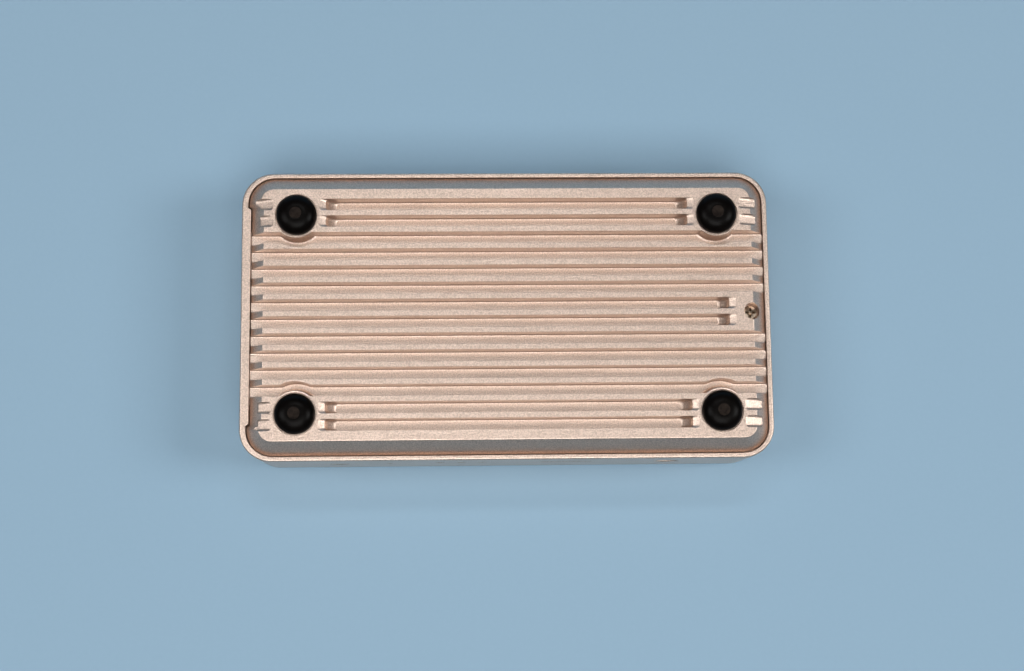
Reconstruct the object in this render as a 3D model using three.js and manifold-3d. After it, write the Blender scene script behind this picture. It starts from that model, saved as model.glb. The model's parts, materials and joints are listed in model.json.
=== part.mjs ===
// Single board computer in a milled aluminium case, modelled lid down with its feet up.
// Millimetres, +Z up. The origin is the middle of the lid's outer face.
// The screw end is +X, the hook end is -X, the port side is +Y and the button side is -Y.
// The bodies are drawn with the ports at -Y, and placing them swaps the two sides.
import * as THREE from 'three';
import { ConvexGeometry } from 'three/addons/geometries/ConvexGeometry.js';
import { mergeVertices } from 'three/addons/utils/BufferGeometryUtils.js';
import Module from 'manifold-3d';

const wasm = await Module();
wasm.setup();

// ---- Driving dimensions ----------------------------------------------------------------

const shell = {
  length: 125,
  width: 68.5,
  cornerRadius: 7.5,
  lid: 1.6,
  lidEdge: 1.2, // rounding of the lid's outer edge
  rimEdge: 0.45, // rounding of the rim's outer edge
  endRim: 1.0, // rim wall at the screw end
  sideRim: 0.95, // rim wall along both long sides
  hookRim: 2.0, // rim wall at the hook end
  hookCornerRim: 1.3, // the same wall next to the corners
  jogInset: 8.25, // from the long side to the step in the hook-end wall
  jogRun: 0.6, // length of that step's slope
  endLedge: 1.3, // ledge under the base at the screw end
  sideLedge: 1.1, // ledge under the base along both long sides
};

const base = {
  thickness: 2.0,
  sunk: 0.6, // how far its edge lies below the rim
  gap: 0.35, // all round, to the rim
  ribHeight: 3.6,
  slopeRun: 3.2, // of the slope all round the ribs
  groovePitch: 4.0,
  grooveWidth: 2.7,
  grooveDraft: 0.12, // narrowing of one groove wall from top to fillet
  grooveFillet: 0.6,
  grooveSink: 0.15, // of the groove floors below the base's edge
  endRamp: 1.0, // extra slope at a groove's closed end
  outerRib: 1.6, // least width of the two outermost ribs
  pedestal: 0.3, // boss under the base above the processor
};

const hook = { width: 12, reach: 0.9, root: 1.5, thickness: 1.0, spacing: 30, clearance: 0.3 };

const foot = {
  diameter: 9.5,
  height: 2.5, // above the ribs
  collar: 0.2, // upright side above the ribs
  tipDiameter: 2.8,
  pocket: 0.6, // depth of its seat
  pocketGap: 0.25, // round its seat
  land: 0.4, // width of the ring left round its seat
  bulge: 2.2, // width of the groove that runs round that ring
  insetLeft: 7.6, // from the edge of the ribbed block
  insetRight: 8.1,
  insetSide: 6.3,
};

const baseScrew = {
  shank: 1.0,
  shankLength: 7.0,
  head: 1.75,
  headHeight: 1.2,
  headGap: 0.4, // round the head, in its counterbore
  seat: 0.4, // counterbore floor below the base's edge level
  inset: 3.45, // from the base's end
  y: 0,
  clearance: 0.2, // round the shank
  bossRadius: 2.6,
  bossDepth: 1.2, // hole left below the shank's tip
  padHalf: 4.0, // grooves nearer the middle than this stop at the pad
  padLength: 7.3, // pad from the base's end to the grooves' ends
};

const board = { thickness: 1.6, headroom: 2.7, gap: 0.5, cornerRadius: 5, bossGap: 0.5 };

const boardScrew = {
  shank: 0.95,
  grip: 4.5, // shank below the board
  head: 1.8,
  headHeight: 1.2,
  holeGap: 0.2,
  pilotGap: 0.08,
  pilotEnd: 1, // pilot hole left below the shank's tip
  standoff: 2.6,
  edge: 3.6, // hole centre to the board's edge
};

const screwCross = { length: 1.2, width: 0.25, depth: 0.5 }; // times the head's radius, radius and height

const ports = { recess: 0.6, clearance: 0.3, cornerGap: 0.8, wall: 0.4, fit: 0.05 };
const ethernet = { width: 16, depth: 21.3, height: 13.4, lidGap: 0.4, plugWidth: 11.9, plugHeight: 8 };
const ethernetCavity = { depth: 14, lip: 1.8 };
const latch = { width: 6.2, height: 1.5, tipWidth: 3.8, tipHeight: 1, depth: 8.4 };
const usb = {
  width: 13.2,
  depth: 14,
  height: 6,
  wall: 0.35,
  corner: 0.5,
  tongueWidth: 11.1,
  tongueHeight: 1.9,
  tongueLength: 9.5,
};
const video = {
  width: 15,
  depth: 11.6,
  height: 6.2,
  wall: 0.35,
  skirt: 2.2, // size of its two cut corners
  tongueHeight: 1.4,
  tongueLength: 7.5,
};
const power = {
  width: 9,
  depth: 7.4,
  height: 3.2,
  wall: 0.25,
  flat: 0.02, // upright side left between its round corners
  tongueHeight: 0.7,
  tongueLength: 5,
};
const audio = { width: 6.4, depth: 12, height: 5.6, nose: 2.6, bore: 1.8, boreDepth: 11 };
const card = { width: 14, depth: 14.5, height: 1.9, wall: 0.2, floor: 0.4, slotWidth: 12, slotHeight: 1.1 };

const button = {
  radius: 2.1,
  faceSink: 0.1, // of its face below the outer wall
  holeGap: 0.2,
  flange: 3.0,
  flangeThickness: 0.8,
  flangeGap: 0.2, // flange to the wall's inner face
};

const resetButton = { pinhole: 0.7, flange: 1.8, flangeThickness: 0.8, flangeGap: 0.2 };
const tactSwitch = {
  width: 6,
  depth: 4,
  plunger: 1.35,
  plungerLength: 4,
  boreGap: 0.15,
  bore: 1.6,
  inBore: 0.9, // plunger's tip in the bore
};
const light = { radius: 0.9, holeGap: 0.1, length: 4.6, sink: 0.1, pitch: 5, count: 3, drop: 0.3, chip: 1.6 };
const buttonRow = { power: -40, reset: -28, lights: -16, card: 14, audio: 38 };

const processor = { size: 17, height: 1.4, x: -4, y: 2 };
const thermalPad = { inset: 1 };
const memory = { width: 8, length: 14, height: 1, offset: 17, spacing: 17 };
const smallChips = [
  { name: 'storage_chip', x: 30, y: 8, width: 11.5, length: 13, height: 1 },
  { name: 'power_controller', x: -38, y: -14, width: 7, length: 7, height: 0.9 },
  { name: 'ethernet_controller_1', x: 20, y: -20, width: 6, length: 6, height: 0.9 },
  { name: 'ethernet_controller_2', x: 38, y: -20, width: 6, length: 6, height: 0.9 },
];
const inductor = { size: 4, height: 2, count: 3, x: -38, y: -3, pitch: 6.5, chamfer: 0.5 };
const battery = { radius: 6.25, height: 2, x: -22, y: 0, holderWall: 1.2, fit: 0.1, holderFloor: 0.6 };
const storageSocket = { width: 22, depth: 6, height: 3.2, slot: 1, slotDepth: 4, x: 34, y: 0 };
const debugHeader = { width: 7.6, depth: 2.5, height: 2.5, x: -2, y: 6 };

// ---- Levels and edges that follow from them ---------------------------------------------

const halfLength = shell.length / 2;
const halfWidth = shell.width / 2;
const boardUnder = shell.lid + ethernet.lidGap + ethernet.height;
const boardTop = boardUnder + board.thickness;
const baseBottom = boardTop + board.headroom;
const baseTop = baseBottom + base.thickness;
const rimTop = baseTop + base.sunk;
const ribTop = baseTop + base.ribHeight;

const rimFace = {
  left: -halfLength + shell.hookRim,
  leftCorner: -halfLength + shell.hookCornerRim,
  right: halfLength - shell.endRim,
  side: halfWidth - shell.sideRim,
};
const cavityFace = { right: rimFace.right - shell.endLedge, side: rimFace.side - shell.sideLedge };
const innerRadius = shell.cornerRadius - shell.endRim;
const jogY = halfWidth - shell.jogInset;

const plate = {
  left: rimFace.left + base.gap,
  leftCorner: rimFace.leftCorner + base.gap,
  right: rimFace.right - base.gap,
  side: rimFace.side - base.gap,
  radius: innerRadius - base.gap,
};
const block = {
  left: plate.left + base.slopeRun,
  right: plate.right - base.slopeRun,
  side: plate.side - base.slopeRun,
};
const footX = [block.left + foot.insetLeft, block.right - foot.insetRight];
const footY = block.side - foot.insetSide;
const pocketRadius = foot.diameter / 2 + foot.pocketGap;
const landRadius = pocketRadius + foot.land;
const bulgeRadius = landRadius + foot.bulge;
const screwX = plate.right - baseScrew.inset;
const screwSeat = baseTop - baseScrew.seat;

const boardEdge = {
  left: rimFace.left + board.gap,
  right: cavityFace.right - board.gap,
  side: cavityFace.side - board.gap,
};
const standoffX = [boardEdge.left + boardScrew.edge, boardEdge.right - boardScrew.edge];
const standoffY = boardEdge.side - boardScrew.edge;
const frontMouth = -halfWidth + ports.recess;
const backMouth = halfWidth - ports.recess;
const buttonZ = boardUnder - button.flange - button.holeGap;
const lightZ = boardUnder - light.radius - light.drop;

const cornerSteps = 3; // an arc of a quarter circle gets twice this many sides
const lidEdgeCut = 0.3; // where the middle facet of the lid's rounding starts, times the rounding
const through = 1; // how far a cutter passes the surface it cuts
const overlap = 0.1; // how far a joined body runs into its neighbour
const sides = { land: 32, seat: 28, wide: 24, round: 20, small: 16, pin: 12 }; // of round bodies

// ---- Solids -------------------------------------------------------------------------------

function solid(geometry) {
  geometry.deleteAttribute('normal');
  geometry.deleteAttribute('uv');
  const merged = mergeVertices(geometry, 1e-4);
  const vertProperties = new Float32Array(merged.attributes.position.array);
  const triVerts = new Uint32Array(merged.index.array);
  return new wasm.Manifold(new wasm.Mesh({ numProp: 3, vertProperties, triVerts }));
}

function toGeometry(body) {
  const mesh = body.getMesh();
  const geometry = new THREE.BufferGeometry();
  geometry.setAttribute('position', new THREE.BufferAttribute(new Float32Array(mesh.vertProperties), 3));
  geometry.setIndex(new THREE.BufferAttribute(new Uint32Array(mesh.triVerts), 1));
  return geometry;
}

function box(x0, x1, y0, y1, z0, z1) {
  const geometry = new THREE.BoxGeometry(x1 - x0, y1 - y0, z1 - z0);
  geometry.translate((x0 + x1) / 2, (y0 + y1) / 2, (z0 + z1) / 2);
  return solid(geometry);
}

function centredBox(x, y, width, depth, z0, z1) {
  return box(x - width / 2, x + width / 2, y - depth / 2, y + depth / 2, z0, z1);
}

function uprightRod(x, y, radius, z0, z1, count = sides.round) {
  const geometry = new THREE.CylinderGeometry(radius, radius, z1 - z0, count);
  geometry.rotateX(Math.PI / 2);
  geometry.translate(x, y, (z0 + z1) / 2);
  return solid(geometry);
}

function levelRod(x, z, radius, y0, y1, count = sides.round) {
  const geometry = new THREE.CylinderGeometry(radius, radius, y1 - y0, count);
  geometry.translate(x, (y0 + y1) / 2, z);
  return solid(geometry);
}

function turned(x, y, profile, count = sides.round) {
  const geometry = new THREE.LatheGeometry(profile, count);
  geometry.rotateX(Math.PI / 2);
  geometry.translate(x, y, 0);
  return solid(geometry);
}

function roundedShape(x0, x1, y0, y1, radius) {
  const shape = new THREE.Shape();
  shape.absarc(x1 - radius, y1 - radius, radius, 0, Math.PI / 2);
  shape.absarc(x0 + radius, y1 - radius, radius, Math.PI / 2, Math.PI);
  shape.absarc(x0 + radius, y0 + radius, radius, Math.PI, 1.5 * Math.PI);
  shape.absarc(x1 - radius, y0 + radius, radius, 1.5 * Math.PI, 2 * Math.PI);
  shape.closePath();
  return shape;
}

function upright(shape, z0, z1) {
  const geometry = new THREE.ExtrudeGeometry(shape, {
    depth: z1 - z0,
    bevelEnabled: false,
    curveSegments: cornerSteps,
  });
  geometry.translate(0, 0, z0);
  return solid(geometry);
}

// A section drawn in X and Z, run from y0 to y1.
function level(shape, y0, y1) {
  const geometry = new THREE.ExtrudeGeometry(shape, {
    depth: y1 - y0,
    bevelEnabled: false,
    curveSegments: cornerSteps,
  });
  geometry.rotateX(Math.PI / 2);
  geometry.translate(0, y1, 0);
  return solid(geometry);
}

// The convex body through a stack of rounded outlines, each { inset, z }.
function stack(x0, x1, side, radius, levels) {
  const points = [];
  for (const { inset, z } of levels) {
    const shape = roundedShape(x0 + inset, x1 - inset, inset - side, side - inset, radius - inset);
    for (const point of shape.getPoints(cornerSteps)) {
      points.push(new THREE.Vector3(point.x, point.y, z));
    }
  }
  return solid(new ConvexGeometry(points));
}

function join(bodies) {
  return bodies.reduce((whole, body) => whole.add(body));
}

function cut(body, cutters) {
  return cutters.reduce((rest, cutter) => rest.subtract(cutter), body);
}

// ---- Base with its ribs --------------------------------------------------------------------

// One groove: stadium outlines above the ribs, above the fillet and at the floor.
function groove(x0, x1, y) {
  const wide = base.grooveWidth / 2;
  const floor = baseTop - base.grooveSink;
  const levels = [
    { half: wide, end: 0, z: ribTop + through },
    {
      half: wide - base.grooveDraft,
      end: base.grooveDraft + base.endRamp / 2,
      z: floor + base.grooveFillet,
    },
    { half: wide - base.grooveFillet, end: base.grooveFillet + base.endRamp, z: floor },
  ];
  const steps = 2 * cornerSteps;
  const points = [];
  for (const { half, end, z } of levels) {
    for (let step = 0; step <= steps; step += 1) {
      const angle = -Math.PI / 2 + (Math.PI * step) / steps;
      const reach = half * Math.cos(angle) - half - end;
      const side = y + half * Math.sin(angle);
      points.push(new THREE.Vector3(x1 + reach, side, z));
      points.push(new THREE.Vector3(x0 - reach, side, z));
    }
  }
  return solid(new ConvexGeometry(points));
}

function grooveCentres() {
  const room = 2 * (block.side - base.outerRib) - base.grooveWidth;
  const last = Math.floor(room / base.groovePitch);
  const centres = [];
  for (let i = 0; i <= last; i += 1) {
    centres.push((i - last / 2) * base.groovePitch);
  }
  return centres;
}

// The stretches of one groove between the feet's lands, the screw's pad and the open ends.
function stretches(y) {
  const beyond = base.grooveWidth + base.endRamp;
  const open = [plate.leftCorner - beyond, plate.right + beyond];
  if (Math.abs(y) < baseScrew.padHalf) {
    return [[open[0], plate.right - baseScrew.padLength]];
  }
  if (Math.abs(Math.abs(y) - footY) < landRadius - base.grooveWidth / 2) {
    return [
      [open[0], footX[0] - landRadius],
      [footX[0] + landRadius, footX[1] - landRadius],
      [footX[1] + landRadius, open[1]],
    ];
  }
  return [open];
}

// Where a groove grazes a land it swings round it: the part of a disc beyond the groove's near wall.
function bulges(y) {
  const toFoot = footY - Math.abs(y);
  const blocked = landRadius - base.grooveWidth / 2;
  const grazed = landRadius + base.grooveWidth / 2;
  if (toFoot < blocked || toFoot > grazed) {
    return [];
  }
  const sign = Math.sign(y);
  const far = sign * (footY - 2 * bulgeRadius);
  const floor = baseTop - base.grooveSink;
  return footX.map((x) => {
    const disc = uprightRod(x, sign * footY, bulgeRadius, floor, ribTop + through, sides.land);
    const keep = box(x - bulgeRadius, x + bulgeRadius, Math.min(y, far), Math.max(y, far),
      floor - through, ribTop + 2 * through);
    return disc.intersect(keep);
  });
}

function eachFoot(make) {
  return footX.flatMap((x) => [-footY, footY].map((y) => make(x, y)));
}

function plateBlank() {
  const whole = upright(
    roundedShape(plate.leftCorner, plate.right, -plate.side, plate.side, plate.radius),
    baseBottom, baseTop,
  );
  const stepY = jogY + base.gap;
  const strip = new THREE.Shape([
    new THREE.Vector2(plate.left, shell.jogRun - stepY),
    new THREE.Vector2(plate.left, stepY - shell.jogRun),
    new THREE.Vector2(plate.leftCorner - through, stepY + shell.jogRun),
    new THREE.Vector2(plate.leftCorner - through, -stepY - shell.jogRun),
  ]);
  return whole.subtract(upright(strip, baseBottom - through, baseTop + through));
}

// The base's two tabs, or with a clearance the slots for them, which end at the wall's face.
function hookTabs(clearance) {
  const root = plate.left + (clearance > 0 ? 0 : hook.root);
  const tip = plate.left - hook.reach - clearance;
  const half = hook.width / 2 + clearance;
  const top = baseBottom + hook.thickness + clearance / 2;
  return [-1, 1].map((side) => {
    const middle = (side * hook.spacing) / 2;
    return box(tip, root, middle - half, middle + half, baseBottom - clearance, top);
  });
}

function finnedBase() {
  const ribs = stack(plate.left, plate.right, plate.side, plate.radius, [
    { inset: 0, z: baseTop - base.thickness / 2 },
    { inset: 0, z: baseTop },
    { inset: base.slopeRun, z: ribTop },
  ]);
  const centres = grooveCentres();
  const grooves = centres.flatMap((y) => stretches(y).map(([x0, x1]) => groove(x0, x1, y)));
  const ribbed = cut(ribs.add(plateBlank()), [...grooves, ...centres.flatMap(bulges)]);
  const lands = eachFoot((x, y) => uprightRod(x, y, landRadius, baseTop - through, ribTop, sides.land));
  const pocketFloor = ribTop - foot.pocket;
  const above = ribTop + through;
  const pockets = eachFoot((x, y) => uprightRod(x, y, pocketRadius, pocketFloor, above, sides.seat));
  const pedestal = centredBox(processor.x, processor.y, processor.size, processor.size,
    baseBottom - base.pedestal, baseTop - through);
  const { y, head, headGap, shank, clearance } = baseScrew;
  const counterbore = uprightRod(screwX, y, head + headGap, screwSeat, above);
  const hole = uprightRod(screwX, y, shank + clearance, baseBottom - through, ribTop);
  const body = join([ribbed, ...lands, pedestal, ...hookTabs(0)]);
  return cut(body, [...pockets, counterbore, hole]);
}

function rubberFoot(x, y) {
  const radius = foot.diameter / 2;
  const tip = foot.tipDiameter / 2;
  const seat = ribTop - foot.pocket;
  const shoulder = ribTop + foot.collar;
  const rise = foot.height - foot.collar;
  const steps = 5;
  const profile = [new THREE.Vector2(0, seat), new THREE.Vector2(radius, seat)];
  for (let step = 0; step <= steps; step += 1) {
    const angle = (Math.PI / 2) * (step / steps);
    const across = tip + (radius - tip) * Math.cos(angle);
    profile.push(new THREE.Vector2(across, shoulder + rise * Math.sin(angle)));
  }
  profile.push(new THREE.Vector2(0, ribTop + foot.height));
  return turned(x, y, profile);
}

// A screw with a flat-topped head, its seat at height seat, and a cross cut into the head.
function crossScrew(x, y, seat, sizes, shankLength) {
  const rim = sizes.headHeight / 4;
  const profile = [
    new THREE.Vector2(0, seat - shankLength),
    new THREE.Vector2(sizes.shank, seat - shankLength),
    new THREE.Vector2(sizes.shank, seat),
    new THREE.Vector2(sizes.head, seat),
    new THREE.Vector2(sizes.head, seat + sizes.headHeight - rim),
    new THREE.Vector2(sizes.head - rim, seat + sizes.headHeight),
    new THREE.Vector2(0, seat + sizes.headHeight),
  ];
  const long = sizes.head * screwCross.length;
  const narrow = sizes.head * screwCross.width;
  const floor = seat + sizes.headHeight * (1 - screwCross.depth);
  const top = seat + sizes.headHeight + through;
  return cut(turned(x, y, profile, sides.small), [
    centredBox(x, y, long, narrow, floor, top),
    centredBox(x, y, narrow, long, floor, top),
  ]);
}

// ---- Ports ------------------------------------------------------------------------------------

function span(centre, width) {
  return [centre - width / 2, centre + width / 2];
}

// A metal sleeve open at the front, and the moulding with its tongue inside it.
function sleeveAndTongue(sizes, outline, mouth, tongueSpan, tongueZ) {
  const back = mouth + sizes.depth;
  const outer = level(outline(0), mouth, back);
  const hollow = level(outline(sizes.wall), mouth - through, back - sizes.wall);
  const root = mouth + ports.recess + sizes.tongueLength;
  const moulding = level(outline(sizes.wall + ports.fit), root, back - sizes.wall - ports.fit);
  const tongue = box(...tongueSpan, mouth + ports.recess, root + sizes.wall,
    tongueZ - sizes.tongueHeight / 2, tongueZ + sizes.tongueHeight / 2);
  return [outer.subtract(hollow), moulding.add(tongue)];
}

function usbPort(x) {
  const [x0, x1] = span(x, usb.width);
  const bottom = boardUnder - usb.height;
  const outline = (inset) => roundedShape(
    x0 + inset, x1 - inset, bottom + inset, boardUnder - inset, usb.corner,
  );
  const tongueZ = boardUnder - usb.wall - usb.tongueHeight;
  return sleeveAndTongue(usb, outline, frontMouth, span(x, usb.tongueWidth), tongueZ);
}

function videoPort(x) {
  const [x0, x1] = span(x, video.width);
  const bottom = boardUnder - video.height;
  const outline = (inset) => new THREE.Shape([
    new THREE.Vector2(x0 + video.skirt + inset / 2, bottom + inset),
    new THREE.Vector2(x1 - video.skirt - inset / 2, bottom + inset),
    new THREE.Vector2(x1 - inset, bottom + video.skirt + inset / 2),
    new THREE.Vector2(x1 - inset, boardUnder - inset),
    new THREE.Vector2(x0 + inset, boardUnder - inset),
    new THREE.Vector2(x0 + inset, bottom + video.skirt + inset / 2),
  ]);
  const tongueWidth = video.width - 2 * video.skirt;
  const tongueZ = boardUnder - video.height / 2;
  return sleeveAndTongue(video, outline, frontMouth, span(x, tongueWidth), tongueZ);
}

function powerPort(x) {
  const [x0, x1] = span(x, power.width);
  const bottom = boardUnder - power.height;
  const radius = (power.height - power.flat) / 2;
  const outline = (inset) => roundedShape(
    x0 + inset, x1 - inset, bottom + inset, boardUnder - inset, radius - inset,
  );
  const tongueWidth = power.width - power.height;
  const tongueZ = boardUnder - power.height / 2;
  return sleeveAndTongue(power, outline, frontMouth, span(x, tongueWidth), tongueZ);
}

function ethernetPort(x) {
  const wall = ports.wall;
  const [x0, x1] = span(x, ethernet.width);
  const back = frontMouth + ethernet.depth;
  const bottom = boardUnder - ethernet.height;
  const hollow = box(x0 + wall, x1 - wall, frontMouth - through, back - wall,
    bottom + wall, boardUnder + through);
  const shield = box(x0, x1, frontMouth, back, bottom, boardUnder).subtract(hollow);
  const inset = wall + ports.fit;
  const liner = box(x0 + inset, x1 - inset, frontMouth + wall, back - inset, bottom + inset, boardUnder);
  const plugTop = boardUnder - ethernetCavity.lip;
  const plugBottom = plugTop - ethernet.plugHeight;
  const latchBottom = plugBottom - latch.height;
  const cavityBack = frontMouth + ethernetCavity.depth;
  const latchBack = frontMouth + latch.depth;
  const cavity = (width, z0, z1, end) => box(...span(x, width), frontMouth - through, end, z0, z1);
  const insert = cut(liner, [
    cavity(ethernet.plugWidth, plugBottom, plugTop, cavityBack),
    cavity(latch.width, latchBottom, plugTop, latchBack),
    cavity(latch.tipWidth, latchBottom - latch.tipHeight, plugTop, latchBack),
  ]);
  return [shield, insert];
}

function audioJack(x) {
  const z = boardUnder - audio.height / 2;
  const bodyFront = cavityFace.side - ports.clearance;
  const body = box(...span(x, audio.width), bodyFront - audio.depth, bodyFront,
    boardUnder - audio.height, boardUnder);
  const nose = levelRod(x, z, audio.nose, bodyFront - through, backMouth, sides.wide);
  const bore = levelRod(x, z, audio.bore, backMouth - audio.boreDepth, backMouth + through, sides.wide);
  return body.add(nose).subtract(bore);
}

function cardSocket(x) {
  const [x0, x1] = span(x, card.width);
  const front = cavityFace.side - ports.clearance;
  const back = front - card.depth;
  const bottom = boardUnder - card.height;
  const { wall } = card;
  const hollow = box(x0 + wall, x1 - wall, back + wall, front + through, bottom + wall, boardUnder + through);
  const cover = box(x0, x1, back, front, bottom, boardUnder).subtract(hollow);
  const inset = wall + ports.fit;
  const tray = box(x0 + inset, x1 - inset, back + inset, front - inset, boardUnder - card.floor, boardUnder);
  return [cover, tray];
}

// Centres of pieces of the given widths, spread evenly from one side to the other.
function spread(widths, from, to) {
  const total = widths.reduce((sum, width) => sum + width, 0);
  const space = (to - from - total) / (widths.length - 1);
  const centres = [];
  let edge = from;
  for (const width of widths) {
    centres.push(edge + width / 2);
    edge += width + space;
  }
  return centres;
}

const frontPorts = [
  { name: 'power_port', sizes: power, make: powerPort, parts: ['shell', 'tongue'] },
  { name: 'video_port', sizes: video, make: videoPort, parts: ['shell', 'tongue'] },
  { name: 'usb_port_1', sizes: usb, make: usbPort, parts: ['shell', 'tongue'] },
  { name: 'usb_port_2', sizes: usb, make: usbPort, parts: ['shell', 'tongue'] },
  { name: 'ethernet_jack_1', sizes: ethernet, make: ethernetPort, parts: ['shield', 'insert'] },
  { name: 'ethernet_jack_2', sizes: ethernet, make: ethernetPort, parts: ['shield', 'insert'] },
];
const frontCentres = spread(
  frontPorts.map((port) => port.sizes.width),
  standoffX[0] + boardScrew.standoff + ports.cornerGap,
  standoffX[1] - boardScrew.standoff - ports.cornerGap,
);

// ---- Shell --------------------------------------------------------------------------------------

function portCutouts() {
  const outside = -halfWidth - through;
  const inside = -cavityFace.side + through;
  return frontPorts.map((port, i) => {
    const [x0, x1] = span(frontCentres[i], port.sizes.width + 2 * ports.clearance);
    const z0 = boardUnder - port.sizes.height - ports.clearance;
    const z1 = boardUnder + ports.clearance;
    if (port.sizes === power) {
      return level(roundedShape(x0, x1, z0, z1, port.sizes.height / 2), outside, inside);
    }
    return box(x0, x1, outside, inside, z0, z1);
  });
}

function buttonSideCutouts() {
  const inside = cavityFace.side - through;
  const outside = halfWidth + through;
  const lightBore = light.radius + light.holeGap;
  const bores = lightCentres().map((x) => levelRod(x, lightZ, lightBore, inside, outside, sides.small));
  const slotTop = boardUnder - card.floor;
  const audioZ = boardUnder - audio.height / 2;
  return [
    levelRod(buttonRow.power, buttonZ, button.radius + button.holeGap, inside, outside, sides.wide),
    levelRod(buttonRow.reset, buttonZ, resetButton.pinhole, inside, outside, sides.pin),
    levelRod(buttonRow.audio, audioZ, audio.nose + ports.clearance, inside, outside, sides.wide),
    box(...span(buttonRow.card, card.slotWidth), inside, outside, slotTop - card.slotHeight, slotTop),
    ...bores,
  ];
}

function standoffs(make) {
  return standoffX.flatMap((x) => [-standoffY, standoffY].map((y) => make(x, y)));
}

function housingShell() {
  const outer = stack(-halfLength, halfLength, halfWidth, shell.cornerRadius, [
    { inset: shell.lidEdge, z: 0 },
    { inset: shell.lidEdge * lidEdgeCut, z: shell.lidEdge * lidEdgeCut },
    { inset: 0, z: shell.lidEdge },
    { inset: 0, z: rimTop - shell.rimEdge },
    { inset: shell.rimEdge, z: rimTop },
  ]);
  const rimPocket = upright(
    roundedShape(rimFace.leftCorner, rimFace.right, -rimFace.side, rimFace.side, innerRadius),
    baseBottom, rimTop + through,
  );
  const cavity = upright(
    roundedShape(rimFace.leftCorner + base.gap / 2, cavityFace.right, -cavityFace.side, cavityFace.side,
      innerRadius - shell.sideLedge),
    shell.lid, baseBottom + through / 2,
  );
  const hookWall = upright(new THREE.Shape([
    new THREE.Vector2(rimFace.left, -jogY + shell.jogRun),
    new THREE.Vector2(rimFace.left, jogY - shell.jogRun),
    new THREE.Vector2(rimFace.leftCorner - overlap, jogY),
    new THREE.Vector2(rimFace.leftCorner - overlap, -jogY),
  ]), shell.lid / 2, rimTop);
  const tub = cut(outer, [rimPocket, cavity]).add(hookWall);
  const posts = standoffs((x, y) => uprightRod(x, y, boardScrew.standoff, shell.lid / 2, boardUnder));
  const boss = join([
    uprightRod(screwX, baseScrew.y, baseScrew.bossRadius, shell.lid / 2, baseBottom, sides.wide),
    box(screwX, cavityFace.right + through / 2, baseScrew.y - baseScrew.bossRadius,
      baseScrew.y + baseScrew.bossRadius, shell.lid / 2, baseBottom),
  ]);
  const pilot = boardScrew.shank + boardScrew.pilotGap;
  const pilotFloor = boardUnder - boardScrew.grip - boardScrew.pilotEnd;
  const pilots = standoffs((x, y) => uprightRod(x, y, pilot, pilotFloor, boardUnder + through, sides.small));
  const bossHole = uprightRod(screwX, baseScrew.y, baseScrew.shank + baseScrew.clearance,
    screwSeat - baseScrew.shankLength - baseScrew.bossDepth, rimTop, sides.small);
  return cut(join([tub, ...posts, boss]), [
    ...pilots, bossHole, ...hookTabs(hook.clearance), ...portCutouts(), ...buttonSideCutouts(),
  ]);
}

// ---- Board and what sits on it ---------------------------------------------------------------------

function mainBoard() {
  const { left, right, side } = boardEdge;
  const blank = upright(roundedShape(left, right, -side, side, board.cornerRadius), boardUnder, boardTop);
  const notchHalf = baseScrew.bossRadius + board.bossGap;
  const notch = box(screwX - notchHalf, right + through, baseScrew.y - notchHalf,
    baseScrew.y + notchHalf, boardUnder - through, boardTop + through);
  const holes = standoffs((x, y) => uprightRod(x, y, boardScrew.shank + boardScrew.holeGap,
    boardUnder - through, boardTop + through, sides.small));
  return cut(blank, [notch, ...holes]);
}

function chip(x, y, width, length, height) {
  return centredBox(x, y, width, length, boardTop, boardTop + height);
}

function coil(x, y) {
  const shape = new THREE.Shape();
  const half = inductor.size / 2;
  const short = half - inductor.chamfer;
  const corners = [[half, short], [short, half], [-short, half], [-half, short],
    [-half, -short], [-short, -half], [short, -half], [half, -short]];
  shape.setFromPoints(corners.map(([across, along]) => new THREE.Vector2(x + across, y + along)));
  return upright(shape, boardTop, boardTop + inductor.height);
}

function batteryHolder() {
  const outer = battery.radius + battery.holderWall;
  const bottom = boardUnder - battery.height - battery.holderFloor;
  const frame = centredBox(battery.x, battery.y, 2 * outer, 2 * outer, bottom, boardUnder);
  return frame.subtract(uprightRod(battery.x, battery.y, battery.radius + battery.fit,
    bottom - through, boardUnder - battery.holderFloor + ports.fit, sides.seat));
}

function clockBattery() {
  const top = boardUnder - battery.holderFloor;
  return uprightRod(battery.x, battery.y, battery.radius, top - battery.height, top, sides.seat);
}

function slottedSocket() {
  const { x, y, width, depth, height, slot, slotDepth } = storageSocket;
  const middle = boardUnder - height / 2;
  const body = centredBox(x, y, width, depth, boardUnder - height, boardUnder);
  const front = y - depth / 2;
  return body.subtract(box(x - width / 2 + slot, x + width / 2 - slot, front - through, front + slotDepth,
    middle - slot / 2, middle + slot / 2));
}

// ---- Buttons, their switches and the lights ----------------------------------------------------------

const powerFlangeFront = cavityFace.side - button.flangeGap;
const resetFlangeFront = cavityFace.side - resetButton.flangeGap;
const powerFlangeBack = powerFlangeFront - button.flangeThickness;
const resetFlangeBack = resetFlangeFront - resetButton.flangeThickness;

function pushButton() {
  const root = powerFlangeBack + button.flangeThickness / 2;
  const stem = levelRod(buttonRow.power, buttonZ, button.radius, root, halfWidth - button.faceSink);
  return stem.add(levelRod(buttonRow.power, buttonZ, button.flange, powerFlangeBack, powerFlangeFront));
}

function resetFlange() {
  return levelRod(buttonRow.reset, buttonZ, resetButton.flange, resetFlangeBack, resetFlangeFront);
}

function plungerSpan(flangeBack) {
  return [flangeBack - tactSwitch.plungerLength, flangeBack];
}

function plunger(x, flangeBack) {
  return levelRod(x, buttonZ, tactSwitch.plunger, ...plungerSpan(flangeBack), sides.small);
}

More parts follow.
